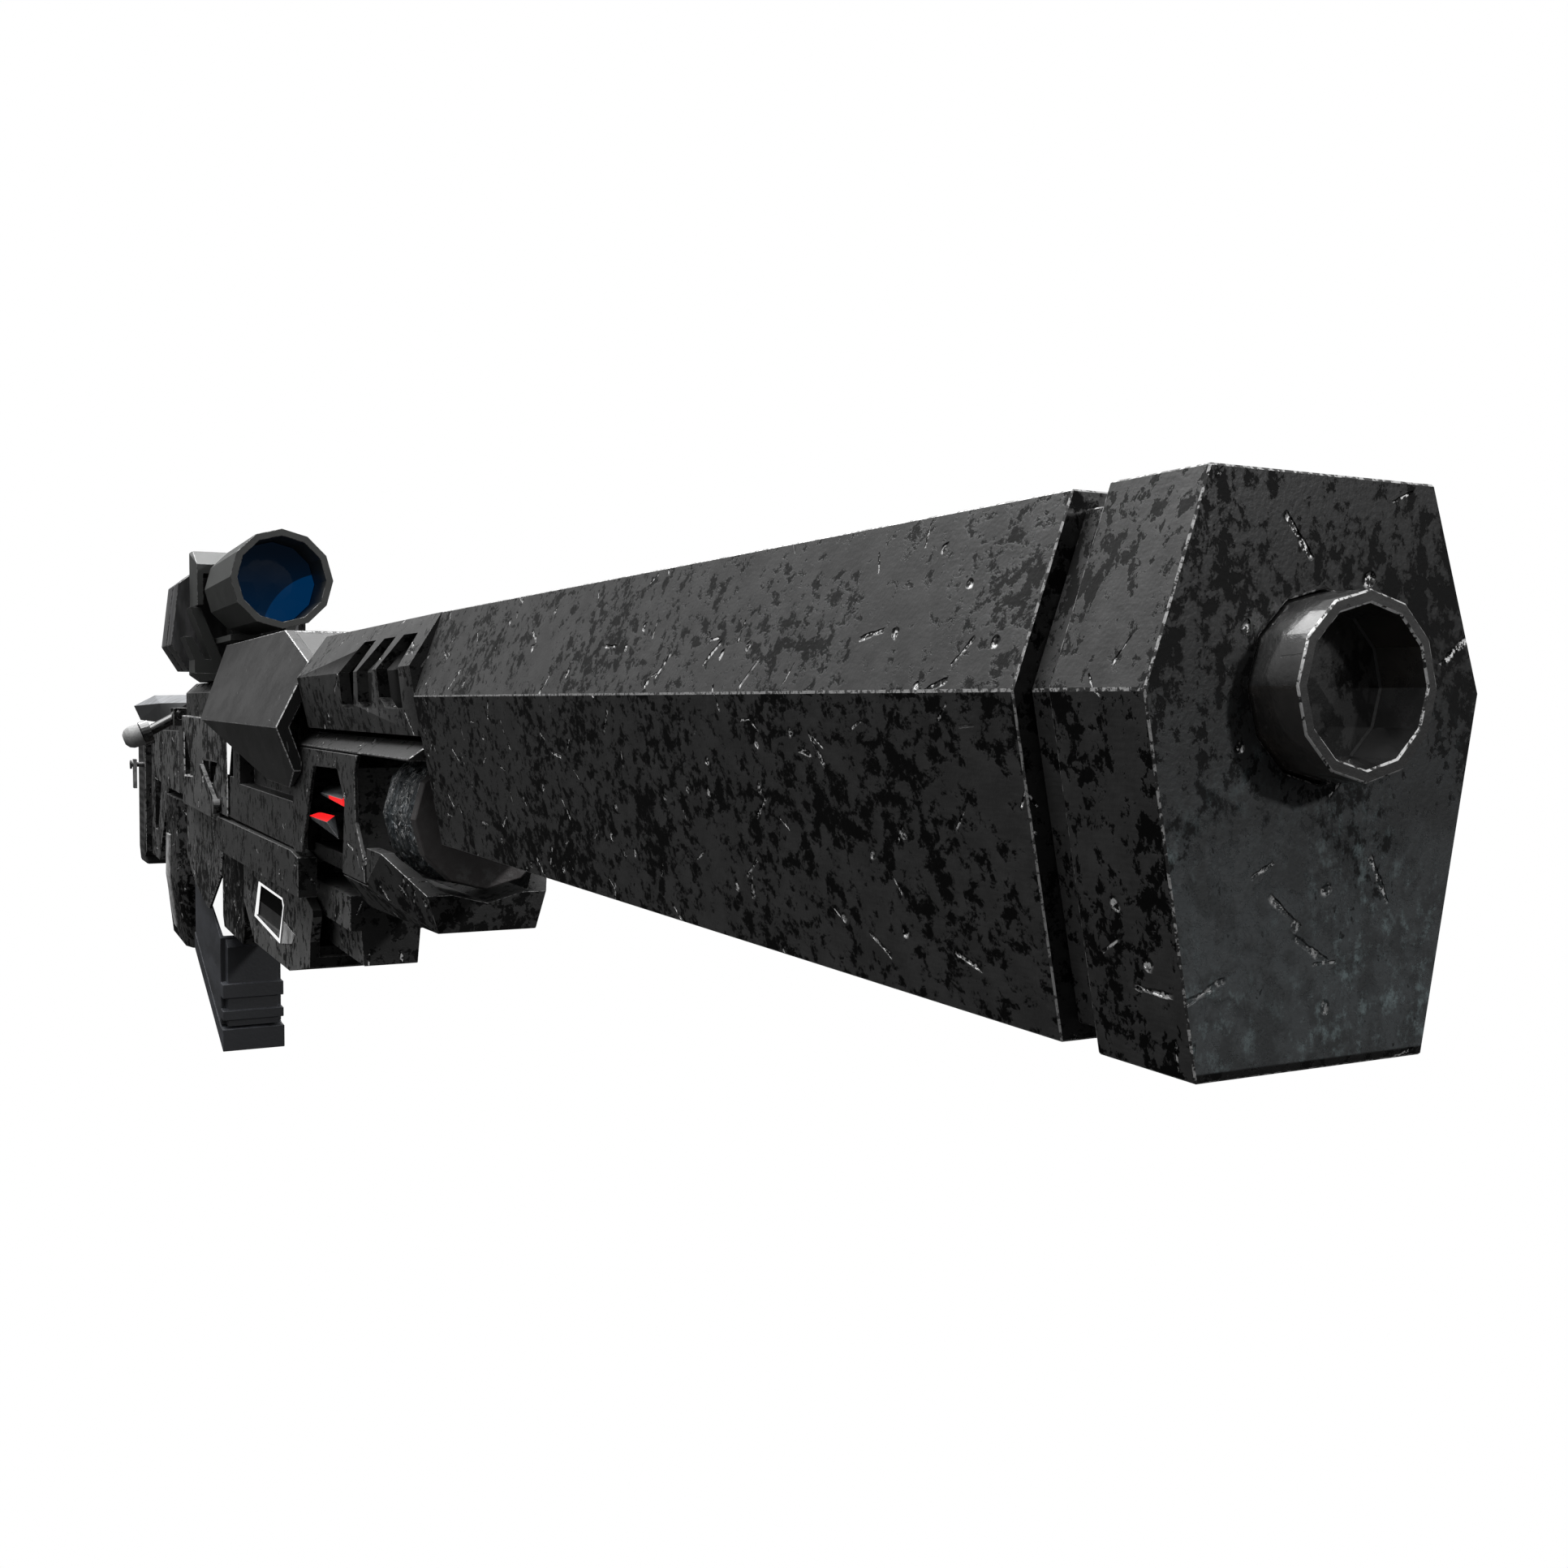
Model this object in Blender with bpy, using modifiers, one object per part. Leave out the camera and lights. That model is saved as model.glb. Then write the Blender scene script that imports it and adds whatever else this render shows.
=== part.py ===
"""Science fiction display rifle: a non-firing prop built as an assembly of separate pieces.

Every size below is in modules.  One module is the height of the hexagonal front face, and MODULE
turns it into metres.  The frame has its origin on the front face, at the height of the side
ridges and on the centre plane: +X runs out of the muzzle, +Y is the rifle's left and +Z is up.
"""

import math

import bmesh
import bpy
from mathutils import Matrix, Vector

MODULE = 0.065

# Running clearance left between neighbouring pieces.
GAP = 0.006

# Hexagonal section shared by the muzzle block and the barrel shroud.
TOP_HALF = 0.254
TOP_Z = 0.361
RIDGE_HALF = 0.380
BOTTOM_HALF = 0.259
BOTTOM_Z = -0.639

# Stations along the barrel.
BLOCK_REAR = -0.248
SHROUD_FRONT = -0.353
SHROUD_REAR = -4.700
HOUSING_REAR = -7.190
NECK_INSET = 0.035
SHROUD_WALL = 0.045

# Muzzle tube.
TUBE_Z = 0.007
TUBE_R = 0.158
TUBE_BORE_R = 0.135
TUBE_FRONT = 0.100
TUBE_POCKET = 0.0
TUBE_REAR = -0.345
FACETS = 12

# Spine tube that carries the shroud and the light cable.
SPINE_R = 0.110
SPINE_BORE_R = 0.085
SPINE_FRONT = -0.610
SPINE_REAR = -7.550

# Slotted housing behind the shroud: half widths and heights at its front and rear ends.
HOUSING_TOP = [(.254, .361), (.266, .345)]
HOUSING_RIDGE = [(.396, .130), (.433, .108)]
HOUSING_BOTTOM = [(.345, -.172), (.371, -.172)]
HOUSING_WALL = 0.048
SLOTS = [
    [(-6.09, .122), (-5.94, .272), (-5.69, .272), (-5.76, .128), (-5.89, -.054), (-6.12, -.058), (-6.15, -.038)],
    [(-5.69, .122), (-5.52, .274), (-5.30, .275), (-5.38, .130), (-5.51, -.053), (-5.72, -.056), (-5.77, -.026)],
    [(-5.30, .128), (-5.16, .279), (-4.91, .279), (-4.90, .130), (-4.94, -.053), (-5.24, -.054), (-5.33, -.005)],
]

# Receiver cover: corners on one side of the centre plane.
COVER_CORNERS = [
    (-8.69, .25, .443), (-11.50, .25, .43), (-7.20, .37, .20), (-7.20, .55, -.17), (-10.70, .55, -.16),
    (-7.20, .455, -.42), (-7.50, .43, -.53), (-8.30, .43, -.52), (-8.90, .50, -.30),
]
COVER_CAVITY = [(-.20, .385), (-.475, -.17), (-.36, -.50), (-.30, -.72)]
COVER_CAVITY_REAR = -10.42
NOSE_FRONT = (-7.215, .300, .182)
NOSE_REAR = (-8.655, .182, .424)
NOSE_THICKNESS = 0.060

# Receiver core, a solid spine with a pocket for the electronics.
CORE_HALF = 0.28
CORE_OUTLINE = [
    (-7.60, .10), (-10.30, .10), (-10.30, -.215), (-14.90, -.215), (-14.90, -.95), (-10.90, -.95),
    (-10.90, -1.155), (-8.06, -1.155), (-8.06, -.98), (-7.60, -.98),
]
CORE_WALL_OUTER = 0.385
CORE_WALL = [
    (-10.25, -.275), (-9.88, -.275), (-9.85, -.62), (-7.64, -.62), (-7.64, -.895), (-10.36, -.895), (-10.36, -.62),
]
CORE_SLOT = [(-10.18, -.32), (-10.18, -.585), (-12.30, -.585), (-12.30, -.32)]
POCKET = (-7.90, -9.95, .22, -.28)

# Side panels.
PANEL_INNER = 0.34
PANEL_OUTER = 0.40
PANEL_OUTLINE = [
    (-10.42, -.23), (-10.80, -.20), (-11.00, -.165), (-13.42, -.155), (-13.42, -.97), (-10.93, -.97),
    (-10.93, -.895), (-10.42, -.895),
]
PANEL_NOTCH = [(-13.30, -.31), (-13.17, -.33), (-12.63, -.683), (-13.27, -.704)]
PANEL_RECESS = [(-11.91, -.516), (-10.98, -.509), (-11.24, -.688), (-11.91, -.70)]
PANEL_WINDOW = [(-11.40, -.30), (-12.25, -.30), (-12.25, -.62), (-11.40, -.62)]
RAIL_OUTLINE = [(-10.90, -.925), (-7.60, -.905), (-7.36, -.93), (-7.36, -1.165), (-10.90, -1.185)]
RAIL_INNER = 0.30
RAIL_OUTER = 0.41

# Top rail that carries the scope mount.
TOP_RAIL = (-11.56, -13.70)
TOP_RAIL_SECTION = [(-.33, -.209), (-.33, .05), (-.24, .14)]

# Canister bay.
BRACKET_INNER = 0.380
BRACKET_OUTER = 0.400
BRACKET_OUTLINE = [
    (-5.75, -.285), (-7.41, -.285), (-7.55, -.60), (-7.55, -.895), (-7.28, -.895), (-6.91, -.38),
    (-6.24, -.37), (-6.06, -.53), (-6.12, -.895), (-5.60, -.895), (-5.62, -.78), (-5.70, -.71),
    (-5.80, -.62), (-5.83, -.365),
]
ROOF = (-4.715, -7.41)
ROOF_SECTION = [(-.30, -.20), (-.40, -.268), (-.40, -.279)]
CRADLE_REAR = -6.10
CRADLE_CORNERS = [
    (-6.10, .40, -.90), (-6.10, .27, -1.07), (-5.58, .40, -.90), (-5.58, .40, -.72), (-5.25, .40, -.72),
    (-4.90, .275, -.885), (-4.90, .225, -1.055),
]

# Power canister.
CANISTER_Z = -0.545
CANISTER_R = 0.365
CANISTER_FRONT = -4.92
CANISTER_REAR = -5.46
CAP_THICKNESS = 0.055
BAND_WALL = 0.016
BAND_TAPER = 0.032

# Glowing slats in the bracket's window: the corners of one arm, and the bar that joins both arms.
SLAT_LOWER = [
    (-7.19, .372, -.675), (-6.67, .372, -.675), (-7.13, .24, -.675), (-7.48, .26, -.675),
    (-7.19, .370, -.685), (-6.57, .330, -.760), (-7.13, .22, -.760), (-7.48, .24, -.700),
]
SLAT_UPPER = [
    (-7.05, .335, -.535), (-6.38, .345, -.535), (-6.95, .20, -.495), (-7.48, .20, -.495),
    (-7.05, .330, -.547), (-6.38, .340, -.575), (-6.95, .19, -.600), (-7.48, .19, -.560),
]
SLAT_BAR = (-7.44, -7.485)
LIGHT_BACK = (-7.50, -7.56)
LIGHT_SILL = (-6.12, -7.56)
LIGHT_WALL = (-6.12, -6.17)

# Blocks under the bay.
LOWER_BLOCK = (-6.80, -8.02, .225, -1.30, -1.10)
LOWER_BOX = (-6.80, -7.95, .168, .150, -1.497, -1.29)
FRAME_OUTLINE = [
    (-10.31, -1.21), (-7.72, -1.21), (-7.51, -1.262), (-7.51, -1.304), (-7.593, -1.46), (-7.616, -1.62),
    (-8.337, -1.75), (-9.80, -1.77), (-10.31, -1.52),
]
FRAME_HALF = 0.30
FRAME_CHANNEL = 0.245
FRAME_FLOOR_Z = -1.56
WINDOW_OUTLINE = [(-9.563, -1.302), (-8.579, -1.309), (-8.527, -1.352), (-8.675, -1.552), (-9.70, -1.552)]
FOREGRIP_OUTLINE = [
    (-10.36, -1.20), (-10.91, -1.20), (-10.91, -.98), (-11.27, -.98), (-11.57, -1.47), (-11.59, -1.50),
    (-11.59, -1.80), (-11.51, -1.88), (-10.46, -1.88), (-10.38, -1.81),
]
FOREGRIP_HALF = 0.29

# Lamps: one on the side panel's front edge, one between the fore grip and the magazine well.
STATUS_LAMP = [(-.398, -.300), (-.362, -.300), (-.384, -.575), (-.396, -.575)]
STATUS_LAMP_X = (-10.412, -10.385)
MARKER_OUTLINE = [(-11.60, -1.485), (-12.26, -1.79), (-11.60, -1.97)]

# Magazine well and magazine.
WELL_HALF = 0.31
WELL_OUTLINE = [(-11.31, -.98), (-11.60, -1.465), (-12.42, -1.84), (-13.35, -1.72), (-14.00, -1.50), (-14.00, -.98)]
WELL_CAVITY = (-12.64, -13.92, .256)
MAGAZINE_HALF = 0.25
MAGAZINE_OUTLINE = [
    (-12.65, -1.02), (-12.65, -1.85), (-12.12, -2.06), (-12.12, -2.82), (-13.90, -2.25), (-13.90, -1.02),
]
SPINE_OUTLINE = [(-12.10, -2.08), (-12.01, -2.13), (-12.01, -2.84), (-12.30, -2.78), (-12.30, -2.05)]
RIBS = [(-2.565, -2.445), (-2.755, -2.675)]
BASE_OUTLINE = [(-11.97, -2.83), (-11.97, -3.02), (-13.95, -2.41), (-13.95, -2.25), (-12.12, -2.83)]
BATTERY = (-12.75, -13.80, .17, -1.95, -1.12)

# Trigger group.
TRIGGER_PIVOT = (-14.45, -.80)
TRIGGER_OUTLINE = [
    (-14.38, -.62), (-14.54, -.62), (-14.56, -1.15), (-14.69, -1.62), (-14.63, -1.68), (-14.50, -1.50), (-14.38, -.95),
]
GUARD_OUTLINE = [
    (-14.17, -.96), (-14.17, -1.75), (-14.35, -1.95), (-14.93, -1.95), (-14.93, -1.89), (-14.38, -1.89),
    (-14.23, -1.72), (-14.23, -.96),
]
CATCH_PIVOT = (-14.09, -1.46)
LEVER_PIVOT = (-10.80, -.84)

# Grip and stock.
GRIP_STATIONS = [(-14.96, -16.45, .28, -1.03), (-14.98, -16.55, .285, -1.90), (-15.25, -16.90, .18, -2.60)]
STRIP_CORNERS = [
    (-15.78, .300, -1.45), (-16.10, .300, -1.45), (-15.84, .300, -1.90), (-16.17, .300, -1.90),
    (-15.98, .212, -2.48), (-16.30, .212, -2.48),
]
STOCK_OUTLINE = [(-14.92, -.29), (-19.20, -.31), (-19.20, -1.95), (-18.30, -1.95), (-17.10, -1.02), (-14.92, -1.00)]
STOCK_HALF = 0.17
STOCK_SHOULDER = [(-14.92, -.33), (-17.10, -.35), (-17.60, -.60), (-17.30, -.92), (-14.92, -.96)]
STOCK_SHOULDER_HALF = 0.28
STOCK_OPENING = [(-17.80, -.80), (-18.75, -.80), (-18.75, -1.60), (-18.40, -1.60)]
BUTT_PLATE = [(-19.22, -.33), (-19.50, -.33), (-19.50, -2.02), (-19.22, -1.92)]
BUTT_PAD = [(-19.52, -.33), (-20.30, -.36), (-20.48, -.60), (-20.50, -1.95), (-20.28, -2.14), (-19.52, -2.12)]
BUTT_RODS = [(-18.10, -.55), (-18.15, -1.50)]
CHEEK_CORNERS = [
    (-14.20, .14, .04), (-19.00, .14, .045), (-13.85, .30, -.04), (-16.20, .335, -.05), (-20.05, .30, -.09),
    (-19.70, .25, -.27), (-17.00, .25, -.27), (-13.85, .25, -.065),
]
CHEEK_POSTS = [-16.2, -17.5]
SLING = (-19.36, -.83)

# Side lever with its knob.
SIDE_PIVOT = (-14.00, -.37, -.165)
SIDE_ELBOW = (-14.00, -.62, -.315)
SIDE_COLLAR = (-14.00, -.70, -.342)
SIDE_KNOB = (-14.00, -.86, -.395)

# Scope.
SCOPE_Z = 0.90
BELL_FRONT = -10.30
BELL_REAR = -11.90
BELL_R = 0.376
BELL_BORE_R = 0.324
LENS_X = -10.70
LENS_SEAT = 0.50
SCOPE_TUBE_R = 0.200
SCOPE_TUBE_REAR = -13.90
SCOPE_BORE_R = 0.150
HOOD_CORNERS = [
    (-12.55, .385, 1.280), (-12.55, .415, 1.258), (-12.04, .410, 1.13), (-12.04, .410, .785), (-12.55, .415, .785),
]
HOOD_ARCH = (.36, .60, 1.05)
BOX_SECTION = [(-.35, 1.12), (-.50, 1.00), (-.565, .465), (-.43, .245), (.43, .245), (.52, .48), (.50, 1.00), (.35, 1.12)]
BOX_LAYERS = [(-12.98, -12.61), (-13.45, -13.06)]
BOX_GROOVE = [(-.33, 1.09), (-.47, .985), (-.533, .47), (-.41, .275), (.41, .275), (.49, .48), (.47, .985), (.33, 1.09)]
MOUNT_FOOT = [(-12.05, .38, .147), (-13.42, .24, .147), (-12.05, .47, .212), (-13.42, .33, .212)]
STRUTS = [((.38, .46, .770), (.20, .29, .31)), ((.45, .51, .520), (.33, .42, .30))]

ROUND_STEPS = 24


def scaled(point):
    """A point in modules as a vector in metres."""
    return Vector(point) * MODULE


def new_collection(name):
    """An empty collection linked to the scene."""
    collection = bpy.data.collections.new(name)
    bpy.context.scene.collection.children.link(collection)
    return collection


def clear_scene():
    """Removes every object the scene starts with."""
    for item in list(bpy.data.objects):
        bpy.data.objects.remove(item, do_unlink=True)


clear_scene()
PARTS = new_collection("science_fiction_display_rifle")
CUTTERS = new_collection("cutters")
MATERIALS = {}


def material(name, colour, metallic, roughness):
    """A Principled material, made once per name."""
    made = bpy.data.materials.new(name)
    made.use_nodes = True
    shader = made.node_tree.nodes["Principled BSDF"]
    shader.inputs["Base Color"].default_value = (*colour, 1.0)
    shader.inputs["Metallic"].default_value = metallic
    shader.inputs["Roughness"].default_value = roughness
    made.diffuse_color = (*colour, 1.0)
    MATERIALS[name] = made


def make_materials():
    """The finishes of the prop."""
    material("mottled_paint", (.045, .045, .045), .6, .42)
    material("tube_black", (.020, .020, .020), .8, .18)
    material("dark_interior", (.010, .010, .010), .0, .80)
    material("spine_aluminium", (.45, .46, .47), 1.0, .35)
    material("scope_paint", (.040, .044, .041), .3, .50)
    material("lens_glass", (.004, .020, .080), .0, .05)
    material("magazine_polymer", (.042, .044, .052), .1, .45)
    material("canister_steel", (.026, .032, .036), .9, .35)
    material("red_light", (.90, .02, .02), .0, .40)
    material("white_light", (.90, .90, .90), .0, .40)
    material("grip_rubber", (.022, .022, .022), .0, .75)
    material("pale_polymer", (.35, .35, .35), .1, .45)
    material("knob_steel", (.40, .40, .40), .8, .45)
    material("pin_steel", (.30, .30, .30), 1.0, .30)
    material("board_green", (.010, .090, .040), .0, .50)
    material("battery_wrap", (.050, .120, .300), .0, .45)


def link(mesh, name, finish):
    """Puts a mesh in the parts collection as one object with one finish."""
    item = bpy.data.objects.new(name, mesh)
    mesh.name = name
    mesh.materials.clear()
    mesh.materials.append(MATERIALS[finish])
    PARTS.objects.link(item)
    return item


def as_cutter(item):
    """Moves an object to the cutters collection and keeps it out of renders."""
    PARTS.objects.unlink(item)
    CUTTERS.objects.link(item)
    item.hide_render = True
    item.display_type = "WIRE"
    return item


def boolean(target, tool, operation):
    """Adds an exact boolean of tool to target."""
    modifier = target.modifiers.new(tool.name, "BOOLEAN")
    modifier.operation = operation
    modifier.solver = "EXACT"
    modifier.object = as_cutter(tool)


def cut(target, *tools):
    """Takes each tool away from target."""
    for tool in tools:
        boolean(target, tool, "DIFFERENCE")


def join(target, *tools):
    """Adds each tool to target."""
    for tool in tools:
        boolean(target, tool, "UNION")


def hull(name, points, finish="mottled_paint"):
    """The convex solid around points given in modules."""
    mesh = bpy.data.meshes.new(name)
    shape = bmesh.new()
    for point in points:
        shape.verts.new(scaled(point))
    bmesh.ops.convex_hull(shape, input=shape.verts)
    loose = [vert for vert in shape.verts if not vert.link_faces]
    bmesh.ops.delete(shape, geom=loose, context="VERTS")
    bmesh.ops.dissolve_limit(
        shape, angle_limit=math.radians(0.5), verts=shape.verts, edges=shape.edges
    )
    bmesh.ops.recalc_face_normals(shape, faces=shape.faces)
    shape.to_mesh(mesh)
    shape.free()
    return link(mesh, name, finish)


def both_sides(points):
    """Points with their mirror images across the centre plane."""
    return [(x, side * y, z) for x, y, z in points for side in (1, -1)]


def mirrored_section(points):
    """A closed section in Y and Z from its right half, listed from the top."""
    return list(points) + [(-y, z) for y, z in reversed(points)]


AXES = {
    "X": Matrix(((0, 0, 1), (1, 0, 0), (0, 1, 0))),
    "Y": Matrix(((1, 0, 0), (0, 0, -1), (0, 1, 0))),
    "Z": Matrix(((1, 0, 0), (0, 1, 0), (0, 0, 1))),
}


def extruded(name, outline, axis, low, high, finish="mottled_paint", holes=()):
    """A flat outline, with any holes in it, extruded along one world axis."""
    curve = bpy.data.curves.new(name, "CURVE")
    curve.dimensions = "2D"
    curve.fill_mode = "BOTH"
    curve.extrude = (high - low) / 2 * MODULE
    for loop in (outline, *holes):
        spline = curve.splines.new("POLY")
        spline.points.add(len(loop) - 1)
        spline.use_cyclic_u = True
        for point, (a, b) in zip(spline.points, loop):
            point.co = (a * MODULE, b * MODULE, 0, 1)
    holder = bpy.data.objects.new(name + "_curve", curve)
    mesh = bpy.data.meshes.new_from_object(holder)
    bpy.data.objects.remove(holder)
    bpy.data.curves.remove(curve)
    middle = {"X": (1, 0, 0), "Y": (0, 1, 0), "Z": (0, 0, 1)}[axis]
    shift = Matrix.Translation(Vector(middle) * (low + high) / 2 * MODULE)
    mesh.transform(shift @ AXES[axis].to_4x4())
    clean(mesh)
    return link(mesh, name, finish)


def clean(mesh):
    """Welds the caps, merges flat faces and turns every face outwards."""
    shape = bmesh.new()
    shape.from_mesh(mesh)
    bmesh.ops.remove_doubles(shape, verts=shape.verts, dist=1e-6)
    bmesh.ops.recalc_face_normals(shape, faces=shape.faces)
    shape.to_mesh(mesh)
    shape.free()


def box(name, x, half, low, high, finish="mottled_paint"):
    """A block between two stations, centred on the plane of symmetry."""
    return hull(name, [(a, b, c) for a in x for b in (-half, half) for c in (low, high)], finish)


def block(name, x, y, z, finish="mottled_paint"):
    """A block between two values on each axis."""
    return hull(name, [(a, b, c) for a in x for b in y for c in z], finish)


def turned(name, profile, start, direction, steps, finish, closed=False):
    """A profile of (radius, distance along the axis) turned about an axis with the Screw modifier."""
    mesh = bpy.data.meshes.new(name)
    shape = bmesh.new()
    verts = [shape.verts.new((radius * MODULE, 0, along * MODULE)) for radius, along in profile]
    for first, second in zip(verts, verts[1:]):
        shape.edges.new((first, second))
    if closed:
        shape.edges.new((verts[-1], verts[0]))
    shape.to_mesh(mesh)
    shape.free()
    item = link(mesh, name, finish)
    item.location = scaled(start)
    item.rotation_mode = "QUATERNION"
    item.rotation_quaternion = Vector(direction).to_track_quat("Z", "Y")
    screw = item.modifiers.new("turn", "SCREW")
    screw.axis = "Z"
    screw.steps = steps
    screw.render_steps = steps
    screw.use_merge_vertices = True
    screw.merge_threshold = 1e-5
    screw.use_smooth_shade = False
    return item


def rod(name, start, end, radius, finish="pin_steel", steps=ROUND_STEPS):
    """A plain cylinder between two points."""
    length = (Vector(end) - Vector(start)).length
    profile = [(0, length), (radius, length), (radius, 0), (0, 0)]
    return turned(name, profile, start, Vector(end) - Vector(start), steps, finish)


def ring(name, start, direction, length, outer, inner, steps, finish):
    """A plain sleeve."""
    profile = [(inner, length), (outer, length), (outer, 0), (inner, 0)]
    return turned(name, profile, start, direction, steps, finish, closed=True)


def put_origin(item, point):
    """Moves an object's origin to a point on its joint axis, leaving the shape in place."""
    bpy.context.view_layer.update()
    target = scaled(point)
    back = item.matrix_world.inverted() @ target
    item.data.transform(Matrix.Translation(-back))
    item.matrix_world = item.matrix_world @ Matrix.Translation(back)


def hexagon(inset):
    """The shroud's section, moved inwards by inset."""
    return [
        (-TOP_HALF + inset * .75, TOP_Z - inset),
        (TOP_HALF - inset * .75, TOP_Z - inset),
        (RIDGE_HALF - inset * 1.04, 0),
        (BOTTOM_HALF - inset * .90, BOTTOM_Z + inset),
        (-BOTTOM_HALF + inset * .90, BOTTOM_Z + inset),
        (-RIDGE_HALF + inset * 1.04, 0),
    ]


def faceted_tool(name, x, radius, z):
    """A twelve-sided cutter along X."""
    return rod(name, (x[1], 0, z), (x[0], 0, z), radius, "dark_interior", FACETS)


def make_muzzle():
    """Muzzle block, neck and the blind decorative tube."""
    muzzle = extruded("muzzle_block", hexagon(0), "X", BLOCK_REAR, 0)
    cut(muzzle, faceted_tool("muzzle_hole", (.05, BLOCK_REAR - .05), TUBE_R + GAP, TUBE_Z))
    neck = extruded("muzzle_neck", hexagon(NECK_INSET), "X", SHROUD_FRONT + GAP, BLOCK_REAR - GAP)
    plug = extruded("neck_plug", hexagon(SHROUD_WALL + 2 * GAP), "X", -.60, SHROUD_FRONT + 2 * GAP)
    join(neck, plug)
    cut(neck, faceted_tool("neck_hole", (BLOCK_REAR + .05, TUBE_REAR - GAP), TUBE_R + GAP, TUBE_Z))
    length = TUBE_FRONT - TUBE_REAR
    pocket = TUBE_POCKET - TUBE_REAR
    profile = [(0, pocket), (TUBE_BORE_R, pocket), (TUBE_BORE_R, length), (TUBE_R, length), (TUBE_R, 0), (0, 0)]
    turned("muzzle_tube", profile, (TUBE_REAR, 0, TUBE_Z), (1, 0, 0), FACETS, "tube_black")


def make_shroud():
    """Long hexagonal shroud and the spine tube inside it."""
    extruded(
        "barrel_shroud", hexagon(0), "X", SHROUD_REAR, SHROUD_FRONT, holes=[hexagon(SHROUD_WALL)]
    )
    ring(
        "spine_tube", (SPINE_REAR, 0, 0), (1, 0, 0), SPINE_FRONT - SPINE_REAR, SPINE_R, SPINE_BORE_R,
        ROUND_STEPS, "spine_aluminium",
    )


def housing_points(front, rear, wall):
    """Corners of the slotted housing, moved inwards by wall."""
    points = []
    for end, x in enumerate((front, rear)):
        top_half, top_z = HOUSING_TOP[end]
        ridge_half, ridge_z = HOUSING_RIDGE[end]
        bottom_half, bottom_z = HOUSING_BOTTOM[end]
        points.append((x, top_half - wall * .7, top_z - wall))
        points.append((x, ridge_half - wall * 1.1, ridge_z))
        points.append((x, bottom_half - wall, bottom_z + wall))
    return both_sides(points)


def make_housing():
    """Slotted housing and the dark core seen through its slots."""
    front = SHROUD_REAR - GAP
    housing = hull("vent_housing", housing_points(front, HOUSING_REAR, 0))
    cut(housing, hull("housing_bore", housing_points(front + .1, HOUSING_REAR - .1, HOUSING_WALL)))
    for number, outline in enumerate(SLOTS):
        cut(housing, extruded(f"slot_{number}", outline, "Y", -.7, .7))
    core = hull("vent_core", housing_points(front - .01, HOUSING_REAR, .09), "dark_interior")
    join(core, box("core_bridge", (front - .2, SHROUD_REAR + .03), .24, -.05, .24, "dark_interior"))
    join(core, extruded("core_flange", hexagon(SHROUD_WALL + GAP), "X", SHROUD_REAR + .005, SHROUD_REAR + .08))
    cut(core, faceted_tool("core_bore", (-4.5, HOUSING_REAR - .1), SPINE_R + .012, 0))


def make_cover():
    """Angular receiver cover and its pale sloped nose."""
    cover = hull("receiver_cover", both_sides(COVER_CORNERS))
    cavity = extruded("cover_cavity", mirrored_section(COVER_CAVITY), "X", COVER_CAVITY_REAR, -6.5)
    front_x, front_y, front_z = NOSE_FRONT
    rear_x, rear_y, rear_z = NOSE_REAR
    recess = [
        (front_x + .3, front_y + .03, front_z - .2), (front_x + .3, front_y + .03, front_z + .4),
        (rear_x - GAP, rear_y + GAP, rear_z - NOSE_THICKNESS - GAP), (rear_x - GAP, rear_y + GAP, rear_z + .2),
    ]
    cut(cover, cavity, hull("nose_recess", both_sides(recess)))
    cut(cover, box("bracket_relief", (-7.0, -7.585), BRACKET_OUTER + .008, -.66, -.279))
    nose = [
        (front_x, front_y, front_z), (front_x, front_y, front_z - NOSE_THICKNESS),
        (rear_x, rear_y, rear_z), (rear_x, rear_y, rear_z - NOSE_THICKNESS),
    ]
    hull("cover_nose", both_sides(nose), "pale_polymer")


def make_core():
    """Receiver core with its side walls, pocket, slots and the lever's ears."""
    core = extruded("receiver_core", CORE_OUTLINE, "Y", -CORE_HALF, CORE_HALF)
    join(core, extruded("core_walls", CORE_WALL, "Y", -CORE_WALL_OUTER, CORE_WALL_OUTER))
    front, rear, half, floor = POCKET
    cut(core, box("electronics_pocket", (front, rear), half, floor, .2))
    cut(core, extruded("core_slot", CORE_SLOT, "Y", -.5, .5))
    cut(core, box("trigger_slot", (-14.15, -14.85), .06, -1.1, -.52))
    pivot_x, pivot_y, pivot_z = SIDE_PIVOT
    for number, station in enumerate((pivot_x + .14, pivot_x - .14)):
        ear = block(
            f"lever_ear_{number}", (station - .05, station + .05), (-.43, -CORE_HALF + .02), (-.26, -.09)
        )
        join(core, ear)
    bore = rod("ear_bore", (pivot_x - .3, pivot_y, pivot_z), (pivot_x + .3, pivot_y, pivot_z), .032)
    cut(core, bore)
    barrel = rod("barrel_relief", (pivot_x - .088, pivot_y, pivot_z), (pivot_x + .088, pivot_y, pivot_z), .075)
    cut(core, barrel)
    pin_x, pin_z = TRIGGER_PIVOT
    cut(core, rod("trigger_pin_hole", (pin_x, -.12, pin_z), (pin_x, .12, pin_z), .031))


def make_board():
    """Control board with its parts, lying in the core's pocket."""
    board = box("control_board", (-8.05, -9.80), .19, -.20, -.175, "board_green")
    for number, (x, size, height) in enumerate(((-8.4, .14, .09), (-8.9, .10, .13), (-9.4, .16, .07))):
        join(board, box(f"board_part_{number}", (x - size / 2, x + size / 2), size * .7, -.185, -.175 + height))
    for number, x in enumerate((-8.12, -9.72)):
        join(board, box(f"board_foot_{number}", (x - .04, x + .04), .12, -.274, -.19))


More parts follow.
